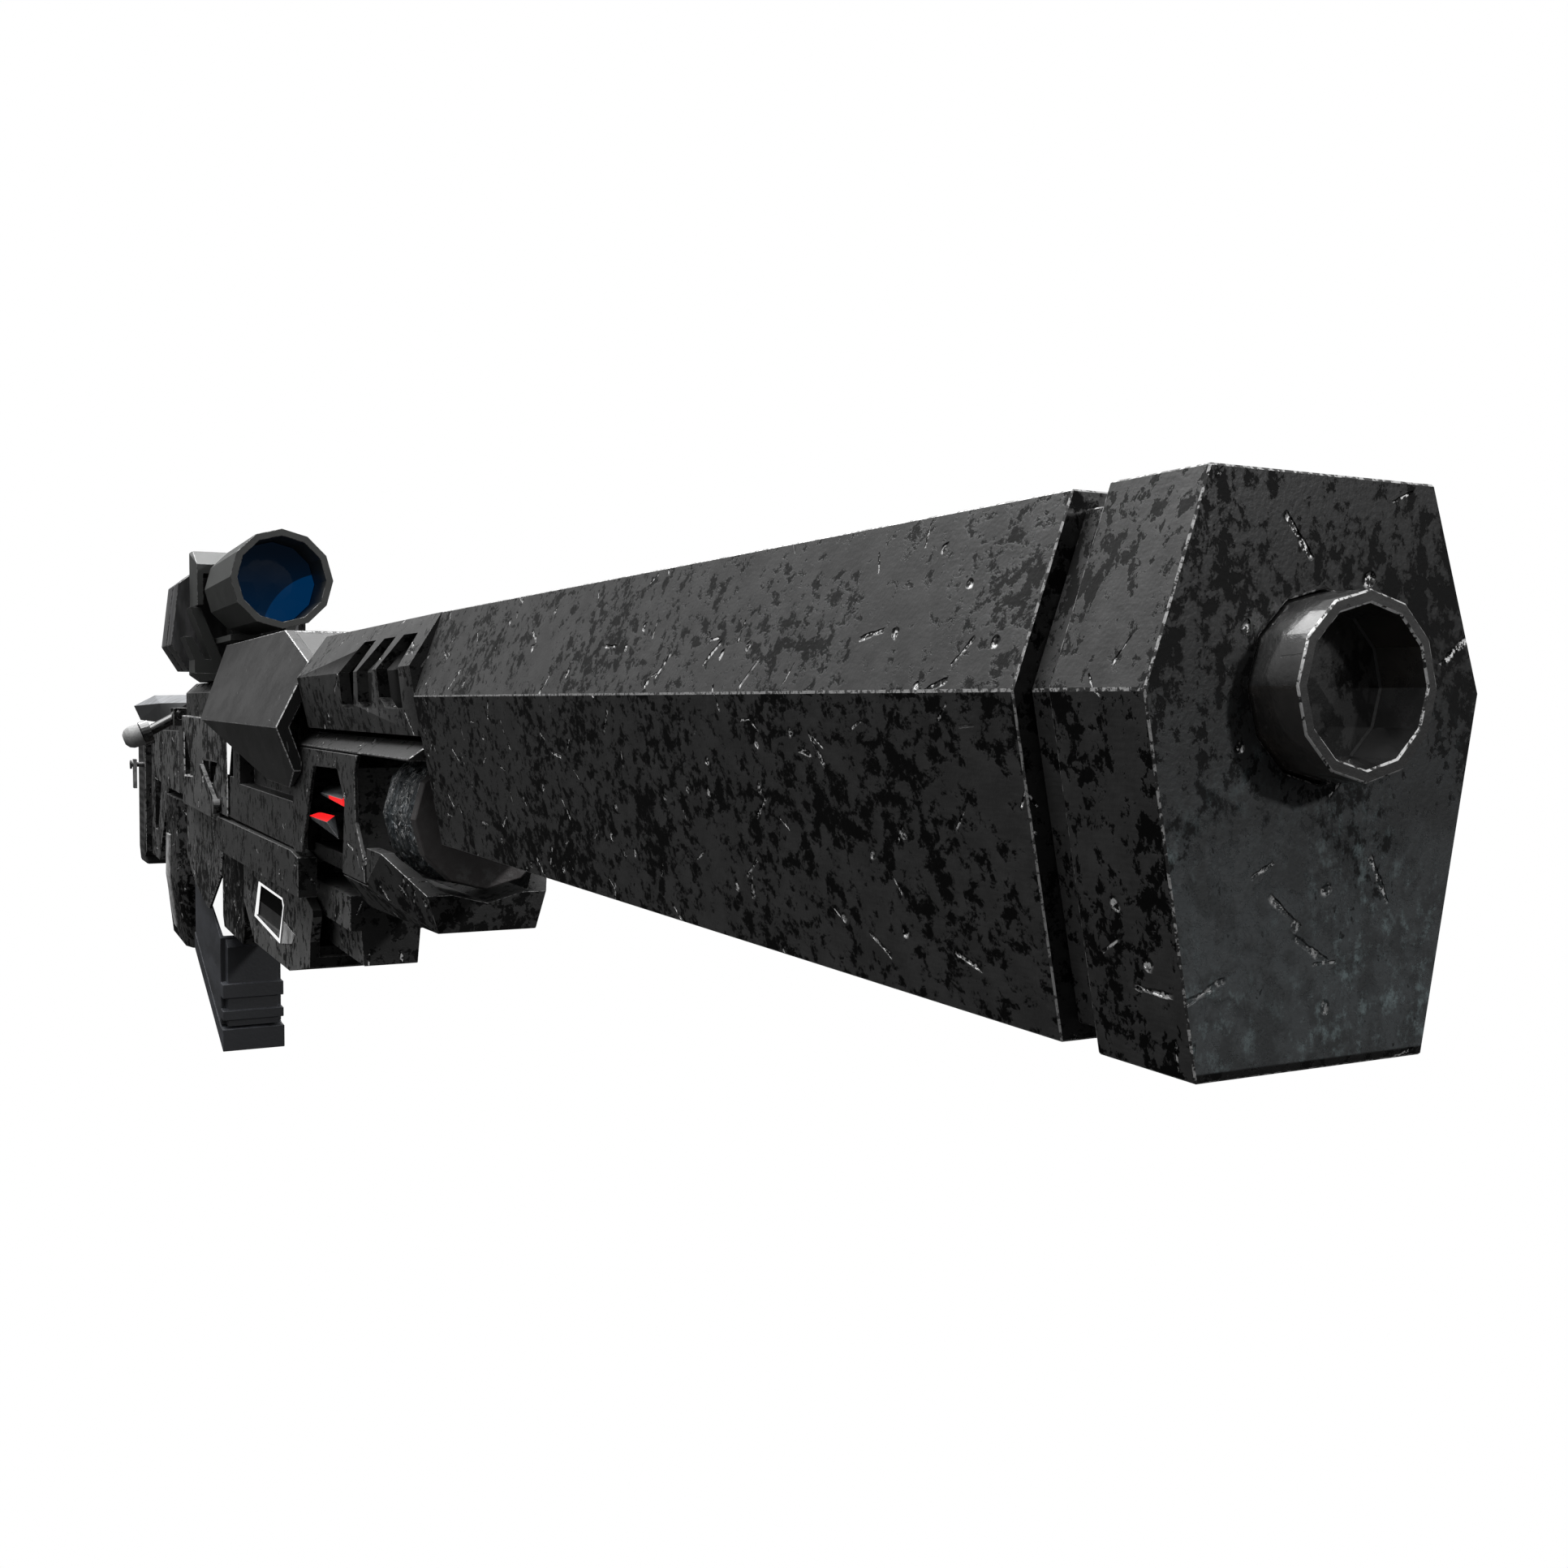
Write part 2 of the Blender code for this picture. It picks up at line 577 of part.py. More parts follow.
def make_panels():
    """Side panels, lower rails and the top rail."""
    extruded(
        "side_panel_right", PANEL_OUTLINE, "Y", -PANEL_OUTER, -PANEL_INNER,
        holes=[PANEL_NOTCH, PANEL_RECESS],
    )
    extruded(
        "side_panel_left", PANEL_OUTLINE, "Y", PANEL_INNER, PANEL_OUTER,
        holes=[PANEL_NOTCH, PANEL_WINDOW],
    )
    extruded("frame_rail_right", RAIL_OUTLINE, "Y", -RAIL_OUTER, -RAIL_INNER)
    extruded("frame_rail_left", RAIL_OUTLINE, "Y", RAIL_INNER, RAIL_OUTER)
    rail = extruded("top_rail", mirrored_section(TOP_RAIL_SECTION), "X", TOP_RAIL[1], TOP_RAIL[0])
    for number in range(5):
        x = TOP_RAIL[0] - .25 - number * .40
        cut(rail, block(f"rail_slot_{number}", (x - .06, x + .06), (-.5, .5), (.105, .2)))


def make_mode_lever():
    """Thin lever on the right panel that picks the light programme."""
    x, z = LEVER_PIVOT
    arm = [(x + .05, z - .02), (x + .02, z + .05), (x - .86, z + .30), (x - .90, z + .26), (x - .05, z - .03)]
    lever = extruded("mode_lever", arm, "Y", -.450, -.420, "pin_steel")
    join(lever, rod("lever_hub", (x, -.407, z), (x, -.458, z), .058))
    put_origin(lever, (x, -.43, z))


def make_bracket():
    """Bracket round the canister bay."""
    extruded("bracket_plate_right", BRACKET_OUTLINE, "Y", -BRACKET_OUTER, -BRACKET_INNER)
    extruded("bracket_plate_left", BRACKET_OUTLINE, "Y", BRACKET_INNER, BRACKET_OUTER)
    roof = extruded("bracket_roof", mirrored_section(ROOF_SECTION), "X", ROOF[1], ROOF[0])
    cut(roof, faceted_tool("roof_bay", (-4.5, CANISTER_REAR - .05), CANISTER_R + .018, CANISTER_Z))
    cradle = hull("canister_cradle", both_sides(CRADLE_CORNERS))
    cut(cradle, faceted_tool("cradle_bay", (-4.5, CRADLE_REAR - .1), CANISTER_R + .018, CANISTER_Z))
    cut(cradle, box("cradle_relief", (-5.55, -6.3), .5, -.902, -.6))
    housing = box("light_housing", LIGHT_BACK, .325, -.90, -.295, "dark_interior")
    join(housing, box("light_sill", LIGHT_SILL, .29, -.94, -.85))
    join(housing, box("bay_wall", LIGHT_WALL, .36, -.90, -.36))


def make_slats():
    """Two glowing slats, each a pair of arms on a bar fixed to the light housing."""
    for name, corners in (("light_slat_lower", SLAT_LOWER), ("light_slat_upper", SLAT_UPPER)):
        slat = hull(name, corners, "red_light")
        join(slat, hull(name + "_far", [(x, -y, z) for x, y, z in corners], "red_light"))
        top = max(z for x, y, z in corners) - .004
        join(slat, box(name + "_bar", SLAT_BAR, .30, top - .02, top, "red_light"))


def make_canister():
    """Power canister: body, wrapped band and front cap, turning together in the cradle."""
    axis = (1, 0, 0)
    body_front = CANISTER_FRONT - CAP_THICKNESS - GAP
    length = body_front - CANISTER_REAR
    rear_r = CANISTER_R
    front_r = CANISTER_R - BAND_TAPER
    skin = BAND_WALL + GAP
    body = [(0, length), (front_r - skin, length), (rear_r - skin, 0), (0, 0)]
    turned("canister_body", body, (CANISTER_REAR, 0, CANISTER_Z), axis, FACETS, "canister_steel")
    band = [(front_r - BAND_WALL, length), (front_r, length), (rear_r, .06), (rear_r - BAND_WALL, .06)]
    turned("canister_band", band, (CANISTER_REAR, 0, CANISTER_Z), axis, FACETS, "canister_steel", closed=True)
    cap = [(0, CAP_THICKNESS), (front_r - .012, CAP_THICKNESS), (front_r - .003, 0), (0, 0)]
    turned("canister_cap", cap, (CANISTER_FRONT - CAP_THICKNESS, 0, CANISTER_Z), axis, FACETS, "tube_black")


def make_lower():
    """Blocks, window frame and fore grip under the receiver."""
    front, rear, half, low, high = LOWER_BLOCK
    lower = box("lower_block", (front, rear), half, low, high)
    box_front, box_rear, box_half, foot_half, box_low, box_high = LOWER_BOX
    corners = [(x, y, z) for x in (box_front, box_rear) for y, z in ((box_half, box_high), (foot_half, box_low))]
    join(lower, hull("lower_box", both_sides(corners)))
    frame = extruded("lower_frame", FRAME_OUTLINE, "Y", -FRAME_HALF, FRAME_HALF)
    cut(frame, box("frame_channel", (-7.0, -10.24), FRAME_CHANNEL, FRAME_FLOOR_Z, -1.0))
    cut(frame, extruded("frame_window", WINDOW_OUTLINE, "Y", -.5, .5))
    middle = Vector((sum(x for x, z in WINDOW_OUTLINE), sum(z for x, z in WINDOW_OUTLINE))) / len(WINDOW_OUTLINE)
    inset = [tuple(middle + (Vector(point) - middle) * .955) for point in WINDOW_OUTLINE]
    extruded("window_lamp", inset, "Y", -FRAME_HALF + .01, FRAME_HALF - .01, "white_light")
    extruded("foregrip", FOREGRIP_OUTLINE, "Y", -FOREGRIP_HALF, FOREGRIP_HALF, "grip_rubber")
    extruded("marker_lamp", MARKER_OUTLINE, "Y", -FOREGRIP_HALF, FOREGRIP_HALF, "white_light")
    extruded("status_lamp", STATUS_LAMP, "X", *STATUS_LAMP_X, "white_light")


def make_magazine():
    """Magazine well, magazine shell, base, battery and catch."""
    well = extruded("mag_well", WELL_OUTLINE, "Y", -WELL_HALF, WELL_HALF)
    front, rear, half = WELL_CAVITY
    cut(well, box("well_cavity", (front, rear), half, -2.2, -.9))
    shell = extruded("magazine_body", MAGAZINE_OUTLINE, "Y", -MAGAZINE_HALF, MAGAZINE_HALF, "magazine_polymer")
    join(shell, extruded("magazine_spine", SPINE_OUTLINE, "Y", -.205, .205))
    for number, (low, high) in enumerate(RIBS):
        join(shell, box(f"magazine_rib_{number}", (-11.98, -12.40), MAGAZINE_HALF, low, high))
    bay_front, bay_rear, bay_half, bay_low, bay_high = BATTERY
    cut(shell, box("battery_bay", (bay_front + .03, bay_rear - .03), bay_half + .03, bay_low - .03, -.9))
    cut(shell, extruded("base_relief", [(-11.8, -2.814), (-12.12, -2.814), (-13.99, -2.234), (-14.2, -3.4),
                                        (-11.8, -3.4)], "Y", -.5, .5))
    extruded("magazine_base", BASE_OUTLINE, "Y", -MAGAZINE_HALF - .004, MAGAZINE_HALF + .004, "magazine_polymer")
    battery = box("battery_pack", (bay_front, bay_rear), bay_half, bay_low, bay_high, "battery_wrap")
    join(battery, box("battery_terminal", (bay_front - .2, bay_front - .5), .06, bay_high - .02, bay_high + .05))
    x, z = CATCH_PIVOT
    catch_outline = [(x + .05, z + .16), (x - .03, z + .16), (x - .03, z - .20), (x + .01, z - .30), (x + .05, z - .28)]
    catch = extruded("magazine_catch", catch_outline, "Y", -.10, .10, "pin_steel")
    put_origin(catch, (x, 0, z))


def make_trigger():
    """Trigger, its pin, guard, switch and plunger."""
    x, z = TRIGGER_PIVOT
    trigger = extruded("trigger", TRIGGER_OUTLINE, "Y", -.045, .045, "tube_black")
    join(trigger, rod("trigger_pins", (x, -.115, z), (x, .115, z), .025))
    put_origin(trigger, (x, 0, z))
    switch = block("trigger_switch", (-14.17, -14.33), (-.05, .05), (-.80, -.60), "dark_interior")
    cut(switch, rod("plunger_bore", (-14.21, 0, -.67), (-14.40, 0, -.67), .026))
    rod("switch_plunger", (-14.28, 0, -.67), (-14.374, 0, -.67), .020, "white_light")
    extruded("trigger_guard", GUARD_OUTLINE, "Y", -.08, .08)


def make_grip():
    """Rear grip and the pale strip inlaid in both its sides."""
    points = []
    for front, rear, half, z in GRIP_STATIONS:
        points += [(front, half * .72, z), (front - .18, half, z), (rear + .25, half, z), (rear, half * .6, z)]
    grip = hull("pistol_grip", both_sides(points), "grip_rubber")
    middle = Vector((-16.04, 0, -1.96))
    relief = [tuple(middle + (Vector(point) - middle) * 1.03) for point in both_sides(STRIP_CORNERS)]
    cut(grip, hull("strip_relief", relief))
    hull("grip_strip", both_sides(STRIP_CORNERS), "pale_polymer")


def make_stock():
    """Stock frame, sliding butt, cheek rest and sling loop."""
    stock = extruded("stock_frame", STOCK_OUTLINE, "Y", -STOCK_HALF, STOCK_HALF)
    join(stock, extruded("stock_shoulder", STOCK_SHOULDER, "Y", -STOCK_SHOULDER_HALF, STOCK_SHOULDER_HALF))
    cut(stock, extruded("stock_opening", STOCK_OPENING, "Y", -.5, .5))
    plate = extruded("butt_plate", BUTT_PLATE, "Y", -.24, .24)
    for number, (x, z) in enumerate(BUTT_RODS):
        join(plate, rod(f"butt_rod_{number}", (-19.3, 0, z), (x, 0, z), .050))
        cut(stock, rod(f"butt_rod_hole_{number}", (-19.4, 0, z), (x + .1, 0, z), .058))
    sling_x, sling_z = SLING
    join(plate, rod("sling_stud", (sling_x, -.20, sling_z), (sling_x, -.40, sling_z), .030))
    join(plate, rod("sling_stud_head", (sling_x, -.385, sling_z), (sling_x, -.41, sling_z), .055))
    pad = extruded("butt_pad", BUTT_PAD, "Y", -.22, .22, "grip_rubber")
    soften = pad.modifiers.new("rounded_edges", "BEVEL")
    soften.width = .035 * MODULE
    soften.segments = 2
    soften.limit_method = "ANGLE"
    cheek = hull("cheek_rest", both_sides(CHEEK_CORNERS), "pale_polymer")
    for number, x in enumerate(CHEEK_POSTS):
        join(cheek, rod(f"cheek_post_{number}", (x, 0, -.72), (x, 0, -.10), .050))
        cut(stock, rod(f"cheek_post_hole_{number}", (x, 0, -.80), (x, 0, -.1), .058))
    put_origin(cheek, (CHEEK_POSTS[0], 0, -.3))
    loop = [(sling_x + .07, sling_z + .07), (sling_x + .07, sling_z - .30), (sling_x - .07, sling_z - .30),
            (sling_x - .07, sling_z + .07)]
    hole = [(sling_x + .037, sling_z + .037), (sling_x + .037, sling_z - .26), (sling_x - .037, sling_z - .26),
            (sling_x - .037, sling_z + .037)]
    swivel = extruded("sling_loop", loop, "Y", -.372, -.332, "pin_steel", holes=[hole])
    put_origin(swivel, (sling_x, -.35, sling_z))


def make_side_lever():
    """Folding side lever and its turning knob."""
    x, y, z = SIDE_PIVOT
    lever = rod("side_lever", (x - .078, y, z), (x + .078, y, z), .065, "tube_black")
    join(lever, rod("lever_trunnion", (x - .185, y, z), (x + .185, y, z), .026))
    collar_middle = tuple(Vector(SIDE_ELBOW).lerp(Vector(SIDE_COLLAR), .5))
    spindle_end = tuple(Vector(SIDE_COLLAR).lerp(Vector(SIDE_KNOB), .6))
    join(lever, rod("lever_arm", (x, y, z), collar_middle, .050))
    join(lever, rod("lever_collar", SIDE_ELBOW, SIDE_COLLAR, .115))
    join(lever, rod("lever_spindle", collar_middle, spindle_end, .035))
    put_origin(lever, SIDE_PIVOT)
    direction = (Vector(SIDE_KNOB) - Vector(SIDE_COLLAR)).normalized()
    start = Vector(SIDE_COLLAR) + direction * GAP
    length = (Vector(SIDE_KNOB) - start).length
    seat = length * .72
    profile = [
        (0, length), (.050, length - .004), (.085, length - .030), (.104, length - .070), (.104, 0),
        (.041, 0), (.041, seat), (0, seat),
    ]
    turned("side_knob", profile, tuple(start), direction, ROUND_STEPS, "knob_steel")


def make_scope():
    """Scope tube, lenses, hood, side box, dials and mount."""
    bell = BELL_FRONT - SCOPE_TUBE_REAR
    bell_rear = BELL_REAR - SCOPE_TUBE_REAR
    inner = BELL_BORE_R - .02
    profile = [
        (BELL_BORE_R, bell), (BELL_R, bell), (BELL_R - .008, bell_rear), (SCOPE_TUBE_R, bell_rear - .10),
        (SCOPE_TUBE_R, 0), (SCOPE_BORE_R, 0), (SCOPE_BORE_R, bell_rear), (inner, bell_rear + .2),
        (inner, bell - LENS_SEAT), (BELL_BORE_R, bell - LENS_SEAT),
    ]
    turned("scope_tube", profile, (SCOPE_TUBE_REAR, 0, SCOPE_Z), (1, 0, 0), FACETS, "scope_paint", closed=True)
    lens = [(0, .055), (.15, .050), (BELL_BORE_R - GAP, .030), (BELL_BORE_R - GAP, 0), (0, 0)]
    turned("objective_lens", lens, (LENS_X - .09, 0, SCOPE_Z), (1, 0, 0), FACETS, "lens_glass")
    arch_half, arch_low, arch_high = HOOD_ARCH
    hood = hull("scope_hood", both_sides(HOOD_CORNERS), "scope_paint")
    cut(hood, box("hood_arch", (-11.9, -12.7), arch_half, arch_low, arch_high))
    cut(hood, faceted_tool("hood_bore", (-11.9, -12.7), SCOPE_TUBE_R + .012, SCOPE_Z))
    side = extruded(
        "scope_side_box", BOX_GROOVE, "X", BOX_LAYERS[1][0] + .02, BOX_LAYERS[0][1] - .02, "scope_paint"
    )
    for number, (rear, front) in enumerate(BOX_LAYERS):
        join(side, extruded(f"box_layer_{number}", BOX_SECTION, "X", rear, front, "scope_paint"))
    cut(side, faceted_tool("side_bore", (-12.5, -13.6), SCOPE_TUBE_R + GAP, SCOPE_Z))
    x = SCOPE_TUBE_REAR - GAP
    eyepiece = [(.12, 0), (.205, 0), (.205, -.44), (.185, -.50), (.165, -.50), (.165, -.32), (.12, -.30)]
    turned("eyepiece_ring", eyepiece, (x, 0, SCOPE_Z), (1, 0, 0), ROUND_STEPS, "scope_paint", closed=True)
    ocular = [(0, .020), (.10, .025), (.159, .035), (.159, 0), (0, 0)]
    turned("ocular_lens", ocular, (x - .38, 0, SCOPE_Z), (1, 0, 0), ROUND_STEPS, "lens_glass")
    dial = [(0, .15), (.12, .15), (.14, .13), (.14, .03), (.11, 0), (0, 0)]
    turned("elevation_dial", dial, (-13.26, 0, 1.12 + GAP), (0, 0, 1), ROUND_STEPS, "tube_black")
    turned("windage_dial", dial, (-13.26, .518, .70), (0, 1, .04), ROUND_STEPS, "tube_black")
    make_scope_mount()


def make_scope_mount():
    """Foot, pillar, saddle and slanted struts that hold the scope on the top rail."""
    mount = hull("scope_mount", both_sides(MOUNT_FOOT), "scope_paint")
    join(mount, box("mount_block", (-12.10, -12.52), .43, .20, .33))
    join(mount, box("mount_pillar", (-12.14, -12.48), .12, .30, SCOPE_Z - SCOPE_TUBE_R - .014))
    join(mount, box("mount_saddle", (-11.25, -12.30), .25, .465, .512))
    for number, (top, low) in enumerate(STRUTS):
        for side in (1, -1):
            x = (-12.10, -12.44)
            corners = [(a, side * b, end[2]) for end in (top, low) for a in x for b in end[:2]]
            join(mount, hull(f"mount_strut_{number}_{side + 1}", corners))


def make_all():
    """Builds every piece of the prop."""
    make_materials()
    make_muzzle()
    make_shroud()
    make_housing()
    make_cover()
    make_core()
    make_board()
    make_panels()
    make_mode_lever()
    make_bracket()
    make_slats()
    make_canister()
    make_lower()
    make_magazine()
    make_trigger()
    make_grip()
    make_stock()
    make_side_lever()
    make_scope()


make_all()
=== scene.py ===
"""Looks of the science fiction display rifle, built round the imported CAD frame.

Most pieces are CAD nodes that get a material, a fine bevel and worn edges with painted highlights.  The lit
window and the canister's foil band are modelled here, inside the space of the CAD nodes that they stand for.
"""

import math

import bmesh
import bpy
from mathutils import Matrix, Vector, noise


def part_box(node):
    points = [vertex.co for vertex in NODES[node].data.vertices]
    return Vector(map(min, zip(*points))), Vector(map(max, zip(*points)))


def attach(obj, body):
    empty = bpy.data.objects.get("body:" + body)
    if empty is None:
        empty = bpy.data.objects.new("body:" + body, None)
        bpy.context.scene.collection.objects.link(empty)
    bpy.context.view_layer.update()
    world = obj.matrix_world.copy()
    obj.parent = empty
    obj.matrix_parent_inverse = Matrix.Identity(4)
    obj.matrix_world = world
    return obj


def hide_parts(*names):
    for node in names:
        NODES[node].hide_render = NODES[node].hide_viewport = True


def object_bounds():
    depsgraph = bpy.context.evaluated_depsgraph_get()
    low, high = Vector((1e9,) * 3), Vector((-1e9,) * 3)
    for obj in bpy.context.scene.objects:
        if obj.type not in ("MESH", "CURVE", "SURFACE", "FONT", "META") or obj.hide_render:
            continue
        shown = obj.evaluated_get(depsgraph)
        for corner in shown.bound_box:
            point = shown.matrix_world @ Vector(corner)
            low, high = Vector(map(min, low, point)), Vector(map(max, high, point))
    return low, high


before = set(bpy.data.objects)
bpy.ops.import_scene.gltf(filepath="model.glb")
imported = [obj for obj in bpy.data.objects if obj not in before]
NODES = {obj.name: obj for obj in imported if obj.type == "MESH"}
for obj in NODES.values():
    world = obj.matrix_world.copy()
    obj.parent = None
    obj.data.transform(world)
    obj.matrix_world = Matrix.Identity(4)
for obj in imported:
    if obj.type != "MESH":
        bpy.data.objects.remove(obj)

CAD_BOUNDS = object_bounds()

# One module is the height of the hexagonal front face.  Outlines, places along X and bevels are in modules.
FACE_LOW, FACE_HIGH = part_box("muzzle_block")
MODULE = FACE_HIGH.z - FACE_LOW.z

# Camera: place in modules, direction it looks in, roll in radians, lens and sensor in mm, and the
# nearest distance that it shows, in metres.
CAMERA_PLACE = (1.907, -1.987, -0.030)
CAMERA_LOOK = (-0.889, 0.455, -0.0504)
CAMERA_ROLL = 0.0067
CAMERA_LENS = 35.65
CAMERA_SENSOR = 36.0
CAMERA_NEAR = 0.001

# Lights, in metres and watts.
OVERHEAD_SIDE = -0.5
OVERHEAD_HEIGHT = 1.6
OVERHEAD_SIZE = (2.2, 1.0)
OVERHEAD_POWER = 36
FILL_PLACE = (1.1, 0.60, 0.50)
FILL_SIZE = (0.08, 0.08)
FILL_POWER = 9

# Sky: brightness against height, from straight down (0) to straight up (1), and a small bright spot whose
# edge is given by cosines of the angle to its direction.
SKY_LOW, SKY_HIGH = 0.01, 0.85
SKY_STOPS = ((0.48, 0.07), (0.55, 0.24), (0.75, 0.50))
GLINT_DIRECTION = (-.717, 0.0, .697)
GLINT_COSINES = (0.975, 0.985)
GLINT_STRENGTH = 9.0

# Floor, in metres, and the share of light that it returns to the prop.
FLOOR_SIZE = 60
FLOOR_GAP = 0.001
FLOOR_RETURN = 0.04

# Limits of the normal's X on a face that looks forwards.
FORWARD = (0.90, 0.97)
# Middle of the noise that makes the blotches of the worn paint.
BLOTCH_MIDDLE = 0.70
# Heights, in metres, between which the muzzle's forward face turns smooth and bluish.
LOWER_FACE = (0.006, -0.034)
# Heights, in metres, between which that face turns into its black lower lip.
LIP = (FACE_LOW.z + 0.0012, FACE_LOW.z + 0.0009)
# Places along X: the rear end of the upper slat's lit side, and the front of the black bar behind both slats.
SLAT_LIT = (-6.80, -6.78)
SLAT_BAR = (-7.425, -7.430)

# Lit window: outlines in X and Z, and distances of their faces from the middle plane.
RING_OUTER = [(-9.563, -1.302), (-8.579, -1.309), (-8.527, -1.352), (-8.688, -1.622), (-9.777, -1.574)]
RING_INNER = [(-9.540, -1.319), (-8.583, -1.322), (-8.544, -1.366), (-8.708, -1.596), (-9.690, -1.556)]
RING_FACES = (.290, .303)
SCREEN_FACES = (.268, .284)
SCREEN_GAP = .004
SILL_LINE = [(-9.600, -1.450), (-8.610, -1.452)]
CHIP = [(-8.520, -1.455), (-8.100, -1.490), (-8.220, -1.560), (-8.610, -1.612)]
CHIP_FACES = (.2995, .3035)

# Plate across the channel of the lower frame: outline in X and Z, and half of its width.
PLATE = [(-7.740, -1.620), (-7.700, -1.620), (-7.700, -1.510), (-7.740, -1.510)]
PLATE_HALF = .235

# Foil wrap: seed of its creases, rows and turns of its mesh, and its wall, deepest dent and gap under
# the band's outside.
WRAP_SEED = 7
WRAP_TURNS = 96
WRAP_ROWS = 22
WRAP_WALL = .014
WRAP_DENT = .026
WRAP_GAP = .006
# Share of the radius that the wrap's outside and its lining lose towards the front.
WRAP_TAPER = .085
# Sides of the CAD's canister, and how many creases run along the wrap and round it.
CANISTER_SIDES = 12
CREASES_ALONG = 3.0
CREASES_ROUND = 4.2

WHITE = (1.0, 1.0, 1.0, 1.0)
BLACK = (0.0, 0.0, 0.0, 1.0)


# ---------------------------------------------------------------- node tree helpers

class Tree:
    """Adds shader nodes to a tree with short calls."""

    def __init__(self, tree):
        self.tree = tree

    def node(self, kind, inputs=(), **settings):
        """Adds one node, sets its properties and feeds its inputs."""
        made = self.tree.nodes.new("ShaderNode" + kind)
        for key, value in settings.items():
            setattr(made, key, value)
        for key, value in dict(inputs).items():
            self.feed(made.inputs[key], value)
        return made

    def feed(self, socket, value):
        """Links a socket, or sets it to a plain value."""
        if isinstance(value, bpy.types.NodeSocket):
            self.tree.links.new(value, socket)
        else:
            socket.default_value = value

    def seen(self):
        """1 for what the camera sees directly, 0 for light on its way to other surfaces."""
        return self.node("LightPath").outputs["Is Camera Ray"]


class Graph(Tree):
    """Builds a material's node tree."""

    def __init__(self, name):
        self.material = bpy.data.materials.new(name)
        self.material.use_nodes = True
        super().__init__(self.material.node_tree)
        self.shader = self.tree.nodes["Principled BSDF"]
        self.place = self.node("TexCoord").outputs["Object"]
        self.normal = self.node("NewGeometry").outputs["True Normal"]

    def math(self, operation, first, second=0.0, clamp=False):
        """One math node."""
        return self.node("Math", {0: first, 1: second}, operation=operation, use_clamp=clamp).outputs[0]

    def plus(self, first, second):
        """Sum of two values."""
        return self.math("ADD", first, second)

    def minus(self, first, second):
        """Difference of two values."""
        return self.math("SUBTRACT", first, second)

    def times(self, first, second):
        """Product of two values."""
        return self.math("MULTIPLY", first, second)

    def most(self, first, second):
        """The larger of two values."""
        return self.math("MAXIMUM", first, second)

    def vector(self, operation, first, second=(0, 0, 0)):
        """One vector math node with a vector result."""
        return self.node("VectorMath", {0: first, 1: second}, operation=operation).outputs["Vector"]

    def measure(self, operation, first, second=(0, 0, 0)):
        """One vector math node with a plain number as its result."""
        return self.node("VectorMath", {0: first, 1: second}, operation=operation).outputs["Value"]

    def scale(self, vector, factor):
        """A vector times a number."""
        return self.node("VectorMath", {0: vector, "Scale": factor}, operation="SCALE").outputs["Vector"]

    def axis(self, vector, letter):
        """One component of a vector."""
        return self.node("SeparateXYZ", {0: vector}).outputs[letter]

    def step(self, value, low, high):
        """0 below low and 1 above high, or the reverse when low is above high."""
        inputs = {0: value, 1: low, 2: high, 3: 0.0, 4: 1.0}
        return self.node("MapRange", inputs, interpolation_type="SMOOTHSTEP").outputs[0]

    def within(self, value, limit, core):
        """1 where a value's size is under the core share of a limit, 0 where it is over the limit."""
        return self.step(self.math("ABSOLUTE", value), limit, limit * core)

    def facing(self, letter, low, high):
        """Step on one component of the surface's normal."""
        return self.step(self.axis(self.normal, letter), low, high)

    def along(self, letter, low, high):
        """Step on one of the surface's own coordinates, in metres."""
        return self.step(self.axis(self.place, letter), low, high)

    def mix(self, factor, first, second):
        """Blend of two colours."""
        return self.node("Mix", {0: factor, 6: first, 7: second}, data_type="RGBA").outputs[2]

    def noise(self, vector, scale, detail=4.0, roughness=0.55, distortion=0.0):
        """Noise value."""
        inputs = {"Vector": vector, "Scale": scale, "Detail": detail, "Roughness": roughness,
                  "Distortion": distortion}
        return self.node("TexNoise", inputs).outputs["Fac"]

    def warp(self, vector, scale, amount):
        """Noise vector that bends a pattern's coordinates."""
        bend = self.node("TexNoise", {"Vector": vector, "Scale": scale}).outputs["Color"]
        return self.scale(bend, amount)

    def stretched(self, factors):
        """The object's own coordinates, stretched along the axes."""
        return self.vector("MULTIPLY", self.place, factors)

    def rise(self, vector):
        """How far a vector reaches out of the surface."""
        return self.measure("DOT_PRODUCT", vector, self.normal)

    def flattened(self, vector):
        """The part of a vector that lies in the surface."""
        return self.vector("SUBTRACT", vector, self.scale(self.normal, self.rise(vector)))

    def bump(self, height, strength, distance):
        """Bump from a height value."""
        inputs = {"Strength": strength, "Distance": distance, "Height": height}
        return self.node("Bump", inputs).outputs["Normal"]

    def surface(self, **values):
        """Feeds the Principled inputs, named with underscores for spaces."""
        for key, value in values.items():
            self.feed(self.shader.inputs[key.replace("_", " ")], value)
        return self.material


def grey(value, tint=(1.0, 1.0, 1.0)):
    """A colour of one brightness with a slight tint."""
    return (value * tint[0], value * tint[1], value * tint[2], 1.0)


def shaded(colour, share):
    """A colour at a share of its brightness."""
    return tuple(channel * share for channel in colour) + (1.0,)


# ---------------------------------------------------------------- wear

